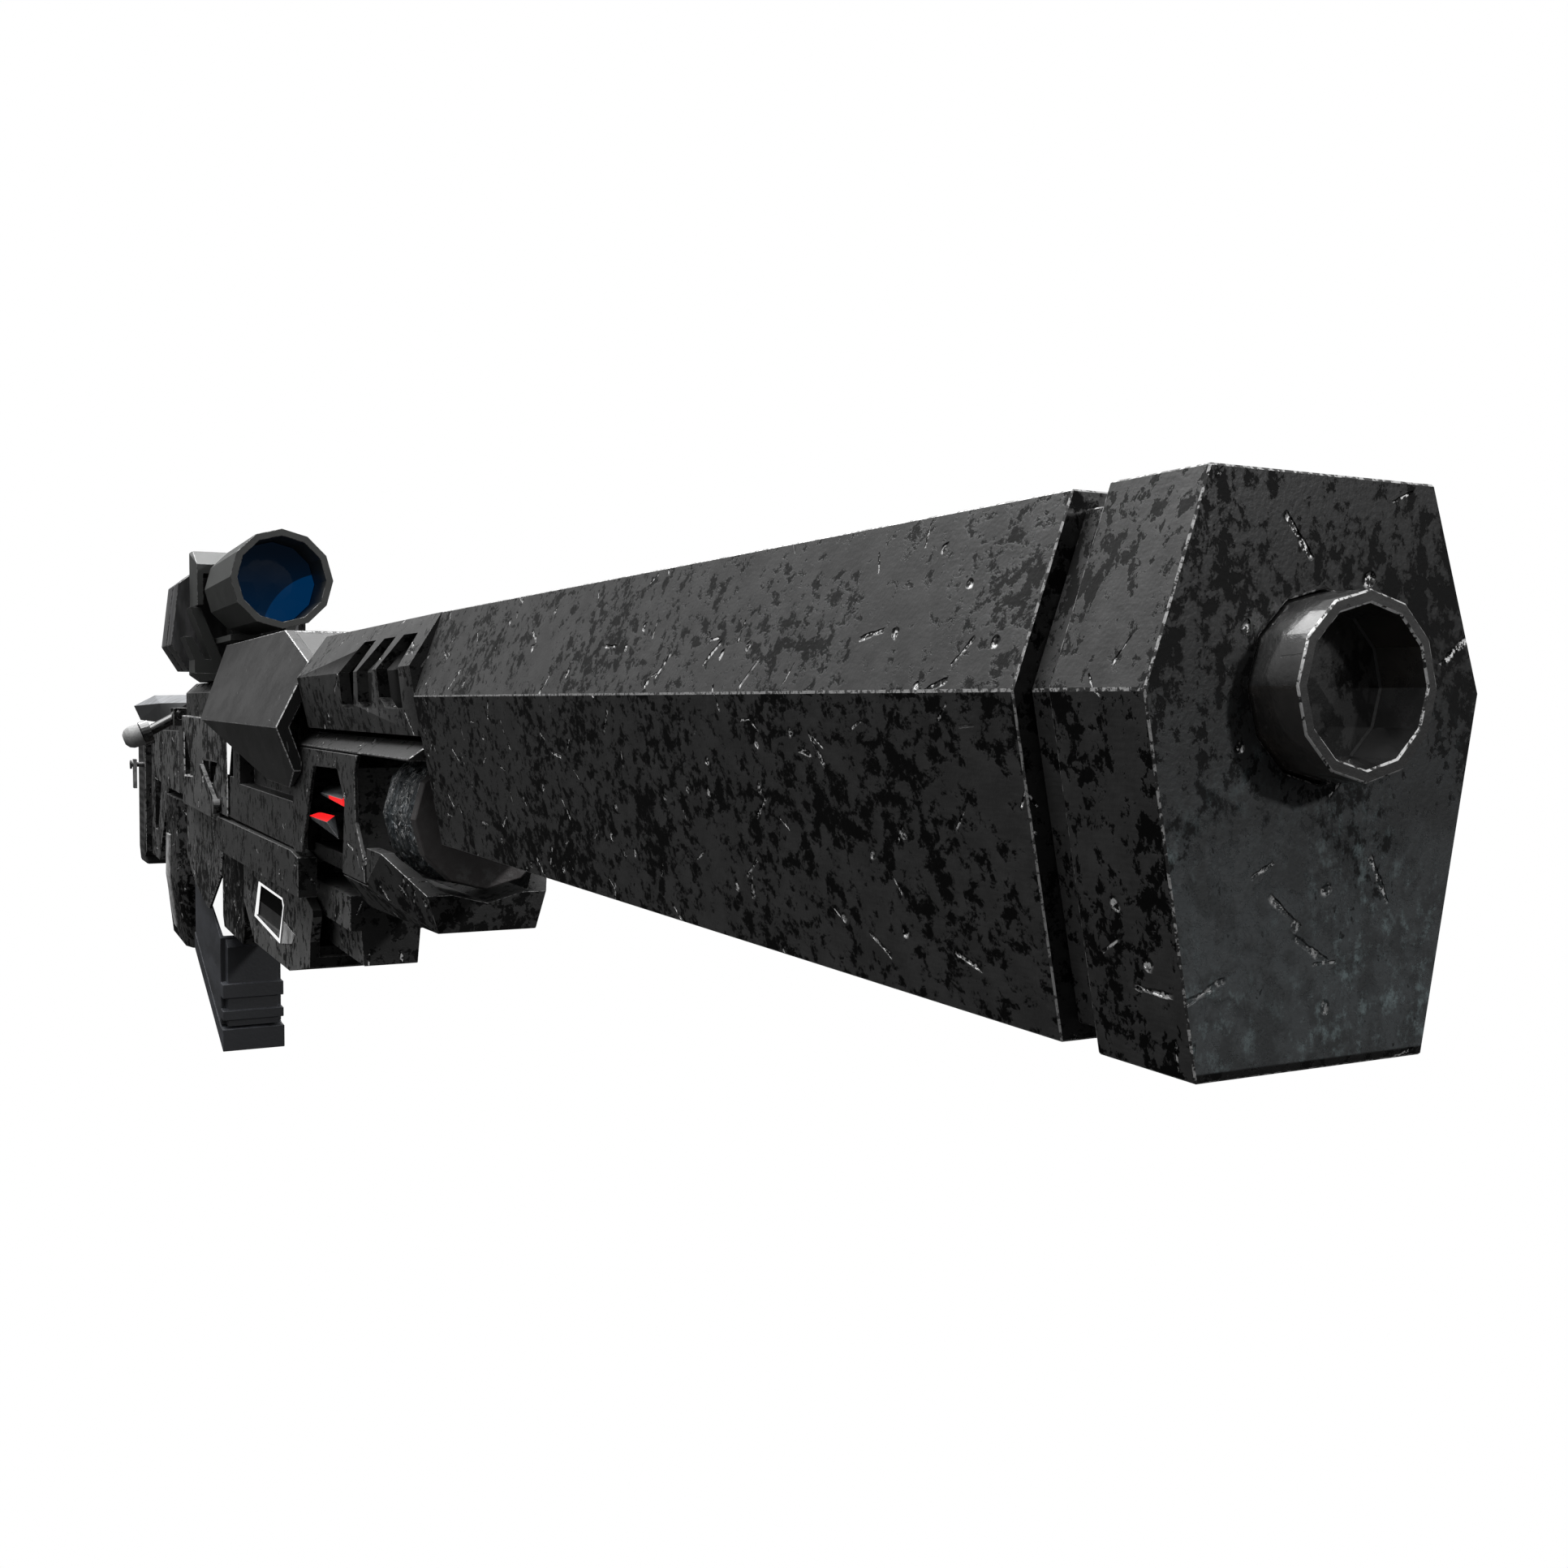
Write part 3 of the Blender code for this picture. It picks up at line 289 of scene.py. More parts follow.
def scratches(graph, scale, length, width, seed, reach):
    """Mask of sparse straight scratches that lie in the surface, one at most in each cell.

    length, width and reach are in cells; reach is how far from the surface a cell's centre may be.
    """
    place = graph.vector("ADD", graph.scale(graph.place, scale), (seed, seed * 1.7, seed * 2.3))
    cells = graph.node("TexVoronoi", {"Vector": place, "Scale": 1.0})
    away = graph.vector("SUBTRACT", place, cells.outputs["Position"])
    flat = graph.flattened(away)
    draw = graph.vector("SUBTRACT", cells.outputs["Color"], (0.5, 0.5, 0.5))
    heading = graph.vector("NORMALIZE", graph.flattened(draw))
    along = graph.measure("DOT_PRODUCT", flat, heading)
    across = graph.measure("LENGTH", graph.vector("SUBTRACT", flat, graph.scale(heading, along)))
    wobble = graph.minus(graph.noise(place, 9.0, 2.0), 0.5)
    line = graph.within(graph.plus(across, graph.times(wobble, width * 2.2)), width, 0.35)
    ends = graph.within(along, length, 0.75)
    near = graph.within(graph.rise(away), reach, 0.9)
    return graph.times(graph.times(line, ends), near)


def pits(graph, scale, size, seed, reach):
    """Mask of sparse round pits, one at most in each cell; size and reach are in cells."""
    place = graph.vector("ADD", graph.scale(graph.place, scale), (seed, seed * 1.3, seed * 0.7))
    place = graph.vector("ADD", place, graph.warp(place, 5.0, 0.12))
    cells = graph.node("TexVoronoi", {"Vector": place, "Scale": 1.0})
    away = graph.vector("SUBTRACT", place, cells.outputs["Position"])
    dot = graph.within(graph.measure("LENGTH", graph.flattened(away)), size, 0.5)
    return graph.times(dot, graph.within(graph.rise(away), reach, 0.9))


def dent_mask(graph, size):
    """Long scratches, short scratches and pits of worn paint."""
    scored = scratches(graph, 52.0 / size, 0.17, 0.024, 3.1, 0.30)
    fine = scratches(graph, 80.0 / size, 0.15, 0.020, 11.7, 0.26)
    holes = pits(graph, 64.0 / size, 0.060, 5.3, 0.30)
    return graph.most(graph.most(scored, fine), holes)


def blotch_cover(graph, place):
    """Noise behind the blotches: large patches with a fine speckled edge, a little less on top."""
    patches = graph.noise(place, 60.0, 3.0, 0.5)
    speckle = graph.noise(place, 350.0, 8.0, 0.72, 0.2)
    cover = graph.plus(graph.times(patches, 0.40), speckle)
    return graph.plus(cover, graph.times(graph.axis(graph.normal, "Z"), -0.035))


def paint_ground(graph, cloud, light):
    """Paint between the blotches: streaky grain over soft clouds."""
    grain = graph.noise(graph.stretched((350, 350, 2600)), 1.0, 3.0, 0.6)
    tone = graph.plus(graph.times(grain, 0.45), graph.times(cloud, 0.75))
    return graph.mix(graph.step(tone, 0.42, 0.80), grey(light * 0.75), grey(light * 1.25))


def weathered_face(graph, place, cloud, more, lower, light, dark, teal):
    """Colour of the muzzle's forward face: mottled above, smooth and bluish below, with a black lip."""
    above = grey(light * 0.26, (.98, 1.0, 1.02))
    below = grey(light * 1.02, (.92, 1.0, 1.04))
    smooth = graph.mix(lower, above, below)
    smooth = graph.mix(graph.times(graph.step(cloud, 0.56, 0.42), 0.45), smooth, grey(light * 0.25))
    mottled = graph.mix(graph.times(more, 0.88), smooth, grey(dark * 1.4))
    pale = graph.times(graph.step(graph.noise(place, 300.0, 8.0, 0.75), 0.50, 0.66), lower)
    pale = graph.times(pale, graph.step(graph.noise(place, 40.0, 2.0), 0.35, 0.60))
    face = graph.mix(graph.times(pale, teal), mottled, grey(light * 2.5, (.84, 1.04, 1.07)))
    return graph.mix(graph.along("Z", *LIP), face, grey(0.002))


# ---------------------------------------------------------------- materials

def worn_metal(name, light, dark, blotch, size=1.0, stretch=(1, 1, 1), front=None, marks=1.0,
               metallic=0.35, roughness=0.42, teal=0.0, painted_shade_behind=None):
    """Dark paint with near-black blotches, streaky grain, scratches and pits.

    blotch holds the limits of the blotches round the middle of their noise; front is the
    brightness of the faces that look forwards, as a share of the rest, painted as shade; teal is the
    strength of the pale bluish wear on the lower part of a forward face; painted_shade_behind is the place
    along X behind which everything is painted black, as deep shade.
    """
    graph = Graph(name)
    place = graph.stretched(tuple(value / size for value in stretch))
    cover = blotch_cover(graph, place)
    low, high = blotch[0] + BLOTCH_MIDDLE, blotch[1] + BLOTCH_MIDDLE
    blotches = graph.step(cover, low, high)
    cloud = graph.noise(place, 170.0, 5.0, 0.6)
    strength = graph.minus(1.0, graph.times(graph.facing("Z", 0.0, 0.5), 0.30))
    colour = graph.mix(graph.times(blotches, strength), paint_ground(graph, cloud, light), grey(dark))
    forwards = graph.facing("X", *FORWARD)
    dents = dent_mask(graph, size)
    if teal:
        lower = graph.along("Z", *LOWER_FACE)
        more = graph.step(graph.minus(cover, graph.times(lower, 0.20)), low - 0.055, high - 0.045)
        face = weathered_face(graph, place, cloud, more, lower, light, dark, teal)
        colour = graph.mix(forwards, colour, face)
        calm = graph.minus(1.0, graph.times(graph.times(forwards, lower), 0.75))
        dents = graph.times(dents, calm)
    elif front is not None:
        # Painted shade: faces that look forwards are darkened to the front share.
        colour = graph.mix(graph.times(forwards, 1.0 - front), colour, grey(dark * 0.5))
    # Painted light and shade: scratches and pits are coloured in pale and black beads, as highlights and
    # shade on their walls.
    beads = graph.step(graph.noise(graph.place, 1100.0 / size, 3.0, 0.7), 0.50, 0.54)
    scratch_highlight_and_shade = graph.mix(beads, BLACK, grey(0.75))
    colour = graph.mix(graph.math("MULTIPLY", dents, marks, clamp=True), colour, scratch_highlight_and_shade)
    if painted_shade_behind is not None:
        # Painted shade: behind this place everything is painted near-black, as the deep shade inside the bay.
        limit = painted_shade_behind * MODULE
        colour = graph.mix(graph.along("X", limit, limit - 0.0005), colour, grey(0.004))
    relief = graph.minus(graph.times(blotches, -0.03), dents)
    relief = graph.plus(relief, graph.times(graph.noise(graph.place, 1400.0, 3.0, 0.6), 0.05))
    return graph.surface(
        Base_Color=colour, Metallic=metallic,
        Roughness=graph.plus(graph.times(blotches, 0.20), roughness - 0.02),
        Specular_IOR_Level=graph.minus(0.42, graph.times(blotches, 0.34)),
        Normal=graph.bump(relief, marks, 0.0009 * size),
    )


def worn_and_highlit_edge(name, bright, dull, share, size=1.0, ahead_of=None):
    """Pale dashes along the bevels: bare metal of worn edges, also painted as edge highlights.

    ahead_of is the place along X behind which no pale dashes show.
    """
    graph = Graph(name)
    # Painted highlight and wear: pale dashes along the edges.
    dashes = graph.step(graph.noise(graph.place, 900.0 / size, 3.0, 0.7), share, share + 0.08)
    if ahead_of is not None:
        limit = ahead_of * MODULE
        dashes = graph.times(dashes, graph.along("X", limit - 0.0004, limit))
    grit = graph.noise(graph.place, 2500.0, 2.0)
    return graph.surface(
        Base_Color=graph.mix(dashes, grey(dull), grey(bright)), Metallic=0.5, Roughness=0.35,
        Normal=graph.bump(grit, 0.4, 0.0002),
    )


def smooth_coat(name, colour, variation, metallic, roughness, grain=900.0, bump=0.25, front=None,
                streak=(1, 1, 1), top=None, specular=0.5):
    """Even coating with slight cloudiness, fine grain and a few scratches.

    front and top are the brightness of the faces that look forwards and upwards, as a share of
    the rest: painted shade on the forward faces and painted light, in patches, on the upward faces.
    """
    graph = Graph(name)
    cloud = graph.noise(graph.stretched(streak), 90.0, 6.0, 0.6)
    fine = graph.noise(graph.stretched(streak), grain, 3.0, 0.6)
    tone = graph.step(graph.plus(graph.times(cloud, 0.7), graph.times(fine, 0.3)), 0.35, 0.65)
    made = graph.mix(tone, shaded(colour, 1 - variation), shaded(colour, 1 + variation))
    if front is not None:
        # Painted shade: faces that look forwards are darkened to the front share.
        made = graph.mix(graph.facing("X", 0.75, 0.95), made, shaded(colour, front))
    if top is not None:
        # Painted light: patches on faces that look upwards are lightened.
        lit = graph.times(graph.facing("Z", 0.45, 0.75), graph.step(cloud, 0.15, 0.75))
        made = graph.mix(lit, made, shaded(colour, top * 1.6))
    marks = scratches(graph, 90.0, 0.18, 0.012, 7.7, 0.08)
    height = graph.minus(graph.times(fine, 0.5), marks)
    return graph.surface(
        Base_Color=made, Metallic=metallic, Specular_IOR_Level=specular,
        Roughness=graph.plus(graph.times(cloud, 0.2), roughness - 0.1),
        Normal=graph.bump(height, bump, 0.0003),
    )


def cover_metal(name):
    """Streaky dark paint; the rim of the cover's open front end is painted pale above as a highlight and dark
    below as shade.
    """
    graph = Graph(name)
    cloud = graph.noise(graph.stretched((.4, 1, .4)), 120.0, 5.0, 0.6)
    grain = graph.noise(graph.stretched((1400, 1400, 220)), 1.0, 4.0, 0.65)
    tone = graph.plus(graph.times(grain, 0.60), graph.times(cloud, 0.45))
    ground = graph.mix(graph.step(tone, 0.44, 0.60), grey(0.006), grey(0.038))
    # Painted light and shade: the forward-looking rim is pale above, as a highlight, and near-black below, as
    # shade.
    pale = graph.mix(graph.step(grain, 0.35, 0.6), grey(0.28), grey(0.50))
    rim = graph.mix(graph.along("Z", 0.100 * MODULE, 0.125 * MODULE), grey(0.007), pale)
    marks = scratches(graph, 60.0, 0.12, 0.014, 4.4, 0.20)
    painted = graph.mix(graph.facing("X", 0.45, 0.60), ground, rim)
    relief = graph.minus(graph.times(grain, 0.35), marks)
    return graph.surface(
        Base_Color=graph.mix(graph.times(marks, 0.6), painted, grey(0.16)), Metallic=0.30, Roughness=0.45,
        Normal=graph.bump(relief, 0.5, 0.0004),
    )


def lit_diffuser(name, brightness, vary):
    """White lit plastic with slightly uneven brightness; it lights nothing else."""
    graph = Graph(name)
    cloud = graph.noise(graph.place, 140.0, 4.0)
    level = graph.node("MapRange", {0: cloud, 1: 0.3, 2: 0.7, 3: 1 - vary, 4: 1.0}).outputs[0]
    return graph.surface(
        Base_Color=grey(0.02), Roughness=0.35, Emission_Color=grey(brightness),
        Emission_Strength=graph.times(level, graph.seen()),
    )


def lit_slat(name, lit_top):
    """Dark slat with a lit red face on top or on its sides; the bar at its rear is black."""
    graph = Graph(name)
    if lit_top:
        glow = graph.facing("Z", 0.70, 0.80)
    else:
        upright = graph.times(graph.facing("Z", 0.70, 0.60), graph.facing("Z", -0.60, -0.40))
        glow = graph.times(upright, graph.along("X", SLAT_LIT[0] * MODULE, SLAT_LIT[1] * MODULE))
    bar = graph.along("X", SLAT_BAR[0] * MODULE, SLAT_BAR[1] * MODULE)
    lit = graph.times(glow, graph.minus(1.0, bar))
    cloud = graph.noise(graph.place, 260.0, 6.0, 0.7)
    tint = (.95, 1.0, 1.05)
    ground = graph.mix(graph.step(cloud, 0.35, 0.65), grey(0.10, tint), grey(0.26, tint))
    return graph.surface(
        Base_Color=graph.mix(graph.most(lit, bar), ground, grey(0.004)), Roughness=0.45,
        Emission_Color=(1.0, .020, .022, 1),
        Emission_Strength=graph.times(graph.times(lit, 0.95), graph.seen()),
        Normal=graph.bump(cloud, 0.3, 0.0003),
    )


def tube_gloss(name):
    """Glossy dark enamel, brownish underneath; the pocket's floor in the muzzle tube is mottled."""
    graph = Graph(name)
    cloud = graph.noise(graph.place, 160.0, 6.0, 0.65)
    mottle = graph.step(cloud, 0.35, 0.65)
    upper = graph.mix(mottle, grey(0.035), grey(0.080))
    under = graph.mix(mottle, grey(0.030, (1.1, 1.0, 0.92)), grey(0.060, (1.15, 1.0, 0.88)))
    outside = graph.mix(graph.facing("Z", 0.25, -0.6), upper, under)
    forwards = graph.facing("X", *FORWARD)
    body = graph.mix(graph.times(forwards, 0.8), outside, grey(0.050))
    patches = graph.noise(graph.place, 330.0, 7.0, 0.72)
    spotted = graph.mix(graph.step(patches, 0.47, 0.52), grey(0.030), grey(0.002))
    floor = graph.times(forwards, graph.along("X", 0.0010, 0.0004))
    marks = graph.most(scratches(graph, 120.0, 0.22, 0.012, 2.2, 0.12), pits(graph, 130.0, 0.05, 9.0, 0.1))
    height = graph.minus(graph.times(cloud, 0.9), marks)
    return graph.surface(
        Base_Color=graph.mix(floor, body, spotted), Metallic=0.35,
        Roughness=graph.plus(graph.times(cloud, 0.16), 0.10), Normal=graph.bump(height, 0.55, 0.0005),
        Coat_Weight=1.0, Coat_Roughness=0.05,
    )


def crumpled_steel(name):
    """Bluish crumpled foil with pale lines painted along its creases as highlights."""
    graph = Graph(name)
    place = graph.stretched((2.8, 0.8, 0.8))
    bent = graph.vector("ADD", graph.scale(place, 42.0), graph.warp(place, 120.0, 1.6))
    folds = graph.node("TexVoronoi", {"Vector": bent}, feature="DISTANCE_TO_EDGE").outputs["Distance"]
    crease = graph.step(folds, 0.06, 0.01)
    # Painted highlight: pale lines along the creases.
    crease_highlights = graph.times(crease, graph.step(graph.noise(place, 90.0, 3.0), 0.46, 0.54))
    cloud = graph.noise(place, 200.0, 6.0, 0.65)
    tint = (.85, 1.0, 1.10)
    base = graph.mix(graph.step(cloud, 0.35, 0.65), grey(0.040, tint), grey(0.110, tint))
    height = graph.plus(folds, graph.times(cloud, 0.4))
    return graph.surface(
        Base_Color=graph.mix(crease_highlights, base, grey(0.85)), Metallic=0.5, Roughness=0.38,
        Normal=graph.bump(height, 0.8, 0.0012),
    )


def cap_metal(name):
    """Very dark canister cap with a pale textured patch near its lower edge."""
    graph = Graph(name)
    cloud = graph.noise(graph.place, 260.0, 7.0, 0.7)
    pale = graph.times(graph.step(cloud, 0.50, 0.60), graph.along("Z", -0.0475, -0.0530))
    base = graph.mix(graph.step(cloud, 0.3, 0.7), grey(0.070, (1.1, 1.0, 1.0)), grey(0.095, (1.05, 1.0, 1.0)))
    return graph.surface(
        Base_Color=graph.mix(pale, base, grey(0.14)), Metallic=0.3, Roughness=0.5,
        Normal=graph.bump(cloud, 0.5, 0.0006),
    )


def lens_reflection(graph, colour, side, rise):
    """Adds a lighter curved reflection and a thin sliver at the lens's lower side."""
    across = graph.minus(side, 1.38)
    over = graph.plus(rise, 1.37)
    distance = graph.math("SQRT", graph.plus(graph.times(across, across), graph.times(over, over)))
    colour = graph.mix(graph.step(distance, 1.675, 1.655), colour, (.0003, .0210, .0700, 1))
    line = graph.plus(graph.times(side, 0.28), rise)
    sliver = graph.times(graph.step(line, -0.92, -0.94), graph.step(side, 0.20, 0.18))
    return graph.mix(sliver, colour, (.0110, .0500, .1350, 1))


def coated_glass(name, reflection):
    """Deep blue coated lens that glows with a painted reflection, lighter below; reflection adds the bright
    curved patch at its lower side.
    """
    graph = Graph(name)
    low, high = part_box("objective_lens")
    radius = (high.z - low.z) / 2
    offset = graph.scale(graph.vector("SUBTRACT", graph.place, tuple((low + high) / 2)), 1.0 / radius)
    rise = graph.axis(offset, "Z")
    # Painted reflection: the lens emits this gradient, lighter below, so it glows.
    colour = graph.mix(graph.step(rise, 0.9, -0.9), (.0016, .0035, .0070, 1), (.0003, .0085, .0260, 1))
    if reflection:
        colour = lens_reflection(graph, colour, graph.axis(offset, "Y"), rise)
    haze = graph.noise(graph.place, 500.0, 4.0)
    return graph.surface(
        Base_Color=BLACK, Roughness=graph.plus(graph.times(haze, 0.05), 0.06), Specular_IOR_Level=0.15,
        Emission_Color=colour, Emission_Strength=1.0, Normal=graph.bump(haze, 0.02, 0.0002),
    )


def circuit_board(name):
    """Green solder mask with copper tracks and dark chips on top."""
    graph = Graph(name)
    bricks = graph.node("TexBrick", {"Vector": graph.place, "Scale": 260.0, "Mortar Size": 0.03})
    tracks = bricks.outputs["Fac"]
    mask = graph.mix(tracks, (.006, .070, .028, 1), (.050, .200, .070, 1))
    return graph.surface(
        Base_Color=graph.mix(graph.along("Z", -0.0112, -0.0110), mask, grey(0.010)), Roughness=0.4,
        Normal=graph.bump(tracks, 0.3, 0.0002),
    )


def shrink_wrap(name):
    """Blue battery wrap with soft wrinkles."""
    graph = Graph(name)
    folds = graph.noise(graph.stretched((1, 1, 0.2)), 120.0, 4.0)
    colour = graph.mix(graph.step(folds, 0.3, 0.7), (.020, .070, .220, 1), (.050, .140, .380, 1))
    return graph.surface(Base_Color=colour, Roughness=0.3, Normal=graph.bump(folds, 0.4, 0.0008))


def ribbed_rubber(name, brightness, ribs):
    """Matt rubber with ribs along it, a fine stipple and dusty patches."""
    graph = Graph(name)
    stipple = graph.node("TexVoronoi", {"Vector": graph.place, "Scale": 1100.0}).outputs["Distance"]
    dust = graph.noise(graph.place, 220.0, 8.0, 0.72)
    patch = graph.times(graph.step(dust, 0.54, 0.66), graph.step(graph.noise(graph.place, 40.0), 0.45, 0.6))
    wave = graph.math("SINE", graph.times(graph.axis(graph.place, "Z"), ribs))
    height = graph.plus(stipple, graph.times(wave, 2.0))
    return graph.surface(
        Base_Color=graph.mix(patch, grey(brightness), grey(brightness * 3.2)), Roughness=0.72,
        Normal=graph.bump(height, 0.35, 0.0004),
    )


SCOPE_PAINT = (.050, .0530, .0505)

MATERIALS = {
    "muzzle": worn_metal("muzzle_metal", 0.062, 0.004, (.000, .040), teal=0.9, stretch=(1.3, 1.3, 1.1)),
    # front darkens the faces that look forwards, as painted shade.
    "shroud": worn_metal("shroud_metal", 0.064, 0.004, (-.010, .065), front=0.3, stretch=(.9, 1.2, 1.15)),
    "body": worn_metal("body_metal", 0.082, 0.014, (.030, .080), front=0.25, size=1.5, marks=0.9),
    "lower": worn_metal("lower_metal", 0.190, 0.012, (.005, .055), front=0.08, size=1.6, marks=0.8),
    "rear": worn_metal("rear_metal", 0.170, 0.012, (-.005, .045), front=0.20, size=2.4),
    "cradle": worn_metal("cradle_metal", 0.055, 0.008, (.040, .080), front=0.35, size=1.6),
    # painted_shade_behind paints the far part of the lit bay near-black, as shade.
    "bay": worn_metal("bay_metal", 0.260, 0.060, (.040, .090), size=1.6, marks=0.5, painted_shade_behind=-6.18),
    "grip": worn_metal("grip_shell", 0.050, 0.003, (-.030, .010), size=2.0, metallic=0.1, roughness=0.5),
    "cover": cover_metal("cover_metal"),
    "edge": worn_and_highlit_edge("bevel_wear_and_highlight", 0.55, 0.05, 0.48),
    "edge_cover": worn_and_highlit_edge("bevel_wear_and_highlight_cover", 0.75, 0.10, 0.44),
    "edge_tube": worn_and_highlit_edge("bevel_wear_and_highlight_tube", 0.70, 0.04, 0.42, ahead_of=0.05),
    "edge_long": worn_and_highlit_edge("bevel_wear_and_highlight_long", 0.55, 0.10, 0.43),
    "edge_soft": worn_and_highlit_edge("bevel_wear_and_highlight_soft", 0.30, 0.05, 0.46),
    "edge_rear": worn_and_highlit_edge("bevel_wear_and_highlight_rear", 0.75, 0.07, 0.44, size=2.0),
    "edge_scope": worn_and_highlit_edge("bevel_wear_and_highlight_scope", 0.24, 0.05, 0.47, size=2.0),
    "edge_slat": worn_and_highlit_edge("edge_slat", 0.62, 0.40, 0.42),
    "tube": tube_gloss("tube_enamel"),
    "dark": smooth_coat("dark_interior_coat", (.005, .005, .005), 0.4, 0.0, 0.8),
    "spine": smooth_coat("spine_metal", (.40, .41, .42), 0.15, 0.9, 0.35, streak=(.1, 1, 1)),
    # front and top paint shade on the forward faces and light on the upward faces.
    "scope": smooth_coat("scope_coat", SCOPE_PAINT, 0.20, 0.1, 0.55, front=0.50),
    "hood": smooth_coat("hood_coat", SCOPE_PAINT, 0.20, 0.1, 0.55, front=0.50, top=0.8),
    "scope_dark": smooth_coat("scope_coat_dark", (.080, .080, .083), 0.75, 0.1, 0.5, grain=500,
                              streak=(1, .4, .1)),
    "magazine": smooth_coat("magazine_shell", (.048, .051, .059), 0.35, 0.1, 0.5, grain=500,
                            streak=(.3, 1, 1), bump=0.5, front=0.42),
    "screen": smooth_coat("window_screen", (.0030, .0028, .0026), 0.3, 0.0, 0.8, specular=0.05),
    "sill": smooth_coat("window_sill", (.030, .030, .030), 0.4, 0.0, 0.6),
    # top paints light on the upward faces of the cheek rest.
    "pale": smooth_coat("pale_polymer_coat", (.090, .093, .098), 0.25, 0.15, 0.42, top=2.6),
    "nose": smooth_coat("nose_coat", (.052, .052, .052), 0.25, 0.10, 0.50, grain=300),
    # The grip strip's pale grey is a painted highlight along the grip's near edge.
    "strip": smooth_coat("grip_edge_highlight_coat", (.46, .46, .46), 0.6, 0.1, 0.5, grain=300),
    "knob": smooth_coat("knob_metal", (.33, .33, .33), 0.3, 0.2, 0.60),
    "pin": smooth_coat("pin_metal", (.30, .30, .30), 0.5, 0.5, 0.38, grain=400),
    "glass": coated_glass("objective_glass", True),
    "glass_rear": coated_glass("ocular_glass", False),
    "canister": crumpled_steel("canister_foil"),
    "cap": cap_metal("canister_cap_metal"),
    "slat_low": lit_slat("slat_lit_top", True),
    "slat_high": lit_slat("slat_lit_side", False),
    "white": lit_diffuser("white_diffuser", .95, 0.05),
    "pad": ribbed_rubber("butt_rubber", 0.014, 900.0),
    "board": circuit_board("circuit_board"),
    "battery": shrink_wrap("battery_shrink_wrap"),
}

# Which look each CAD node takes.
LOOKS = {
    "muzzle": ["muzzle_block", "muzzle_neck"],
    "shroud": ["barrel_shroud"],
    "body": ["vent_housing", "receiver_core", "frame_rail_right", "frame_rail_left", "top_rail",
             "bracket_plate_right", "bracket_plate_left"],
    "rear": ["side_panel_right", "side_panel_left", "stock_frame", "butt_plate", "mag_well", "trigger_guard",
             "mode_lever"],
    "cradle": ["canister_cradle", "bracket_roof"],
    "lower": ["lower_block", "lower_frame"],
    "cover": ["receiver_cover"],
    "tube": ["muzzle_tube", "trigger", "side_lever", "elevation_dial", "windage_dial"],
    "cap": ["canister_cap"],
    "dark": ["vent_core", "trigger_switch"],
    "bay": ["light_housing"],
    "spine": ["spine_tube"],
    "scope": ["scope_tube", "scope_mount", "eyepiece_ring"],
    "hood": ["scope_hood"],
    "scope_dark": ["scope_side_box"],
    "glass": ["objective_lens"],
    "glass_rear": ["ocular_lens"],
    "magazine": ["magazine_body", "magazine_base"],
    "canister": ["canister_body", "canister_band"],
    "slat_low": ["light_slat_lower"],
    "slat_high": ["light_slat_upper"],
    "white": ["window_lamp", "marker_lamp", "status_lamp", "switch_plunger"],
    "grip": ["foregrip", "pistol_grip"],
    "pad": ["butt_pad"],
    "pale": ["cheek_rest"],
    "nose": ["cover_nose"],
    "strip": ["grip_strip"],
    "knob": ["side_knob"],
    "pin": ["magazine_catch", "sling_loop"],
    "board": ["control_board"],
    "battery": ["battery_pack"],
}

# The look of a bevel, where it differs from the look of the faces round it.
EDGES = {
    "muzzle": "edge", "shroud": "edge_long", "tube": "edge_tube", "cover": "edge_cover",
    "body": "edge_soft", "lower": "edge_soft", "cradle": "edge_soft", "pale": "edge_soft",
    "rear": "edge_rear", "scope": "edge_scope", "hood": "edge_scope", "scope_dark": "edge_scope",
    "slat_low": "edge_slat", "slat_high": "edge_slat",
}
PLAIN_BEVEL = .004
BEVEL_WIDTH = {
    "muzzle": .0034, "shroud": .0034, "tube": .0034, "cover": .008, "rear": .012, "slat_low": .006,
    "slat_high": .006,
}

# Edges sharper than PLAIN_ANGLE are bevelled.  The facets of twelve-sided pieces meet below FACET_ANGLE
# and stay sharp.
PLAIN_ANGLE = 18
FACET_ANGLE = 42
FACETED = ("tube", "scope", "cap", "glass", "glass_rear")
# Vertices closer than this, in metres, are welded, and faces within this many degrees are merged.
WELD_DISTANCE = 1e-6
FLAT_ANGLE = 0.5

# Turned pieces whose outsides are shaded round, with the number of their axis.
TURNED = {
    "muzzle_tube": 0, "canister_body": 0, "eyepiece_ring": 0, "side_knob": 1, "windage_dial": 1,
    "elevation_dial": 2,
}


# ---------------------------------------------------------------- CAD nodes

def smooth_outside(item, name, axis):
    """Shades the faces that look away from a piece's own axis round; ends and bores stay flat."""
    low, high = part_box(name)
    middle = (low + high) / 2
    for face in item.data.polygons:
        away = item.matrix_world @ face.center - middle
        away[axis] = 0.0
        face.use_smooth = abs(face.normal[axis]) < 0.5 and away.dot(face.normal) > 0


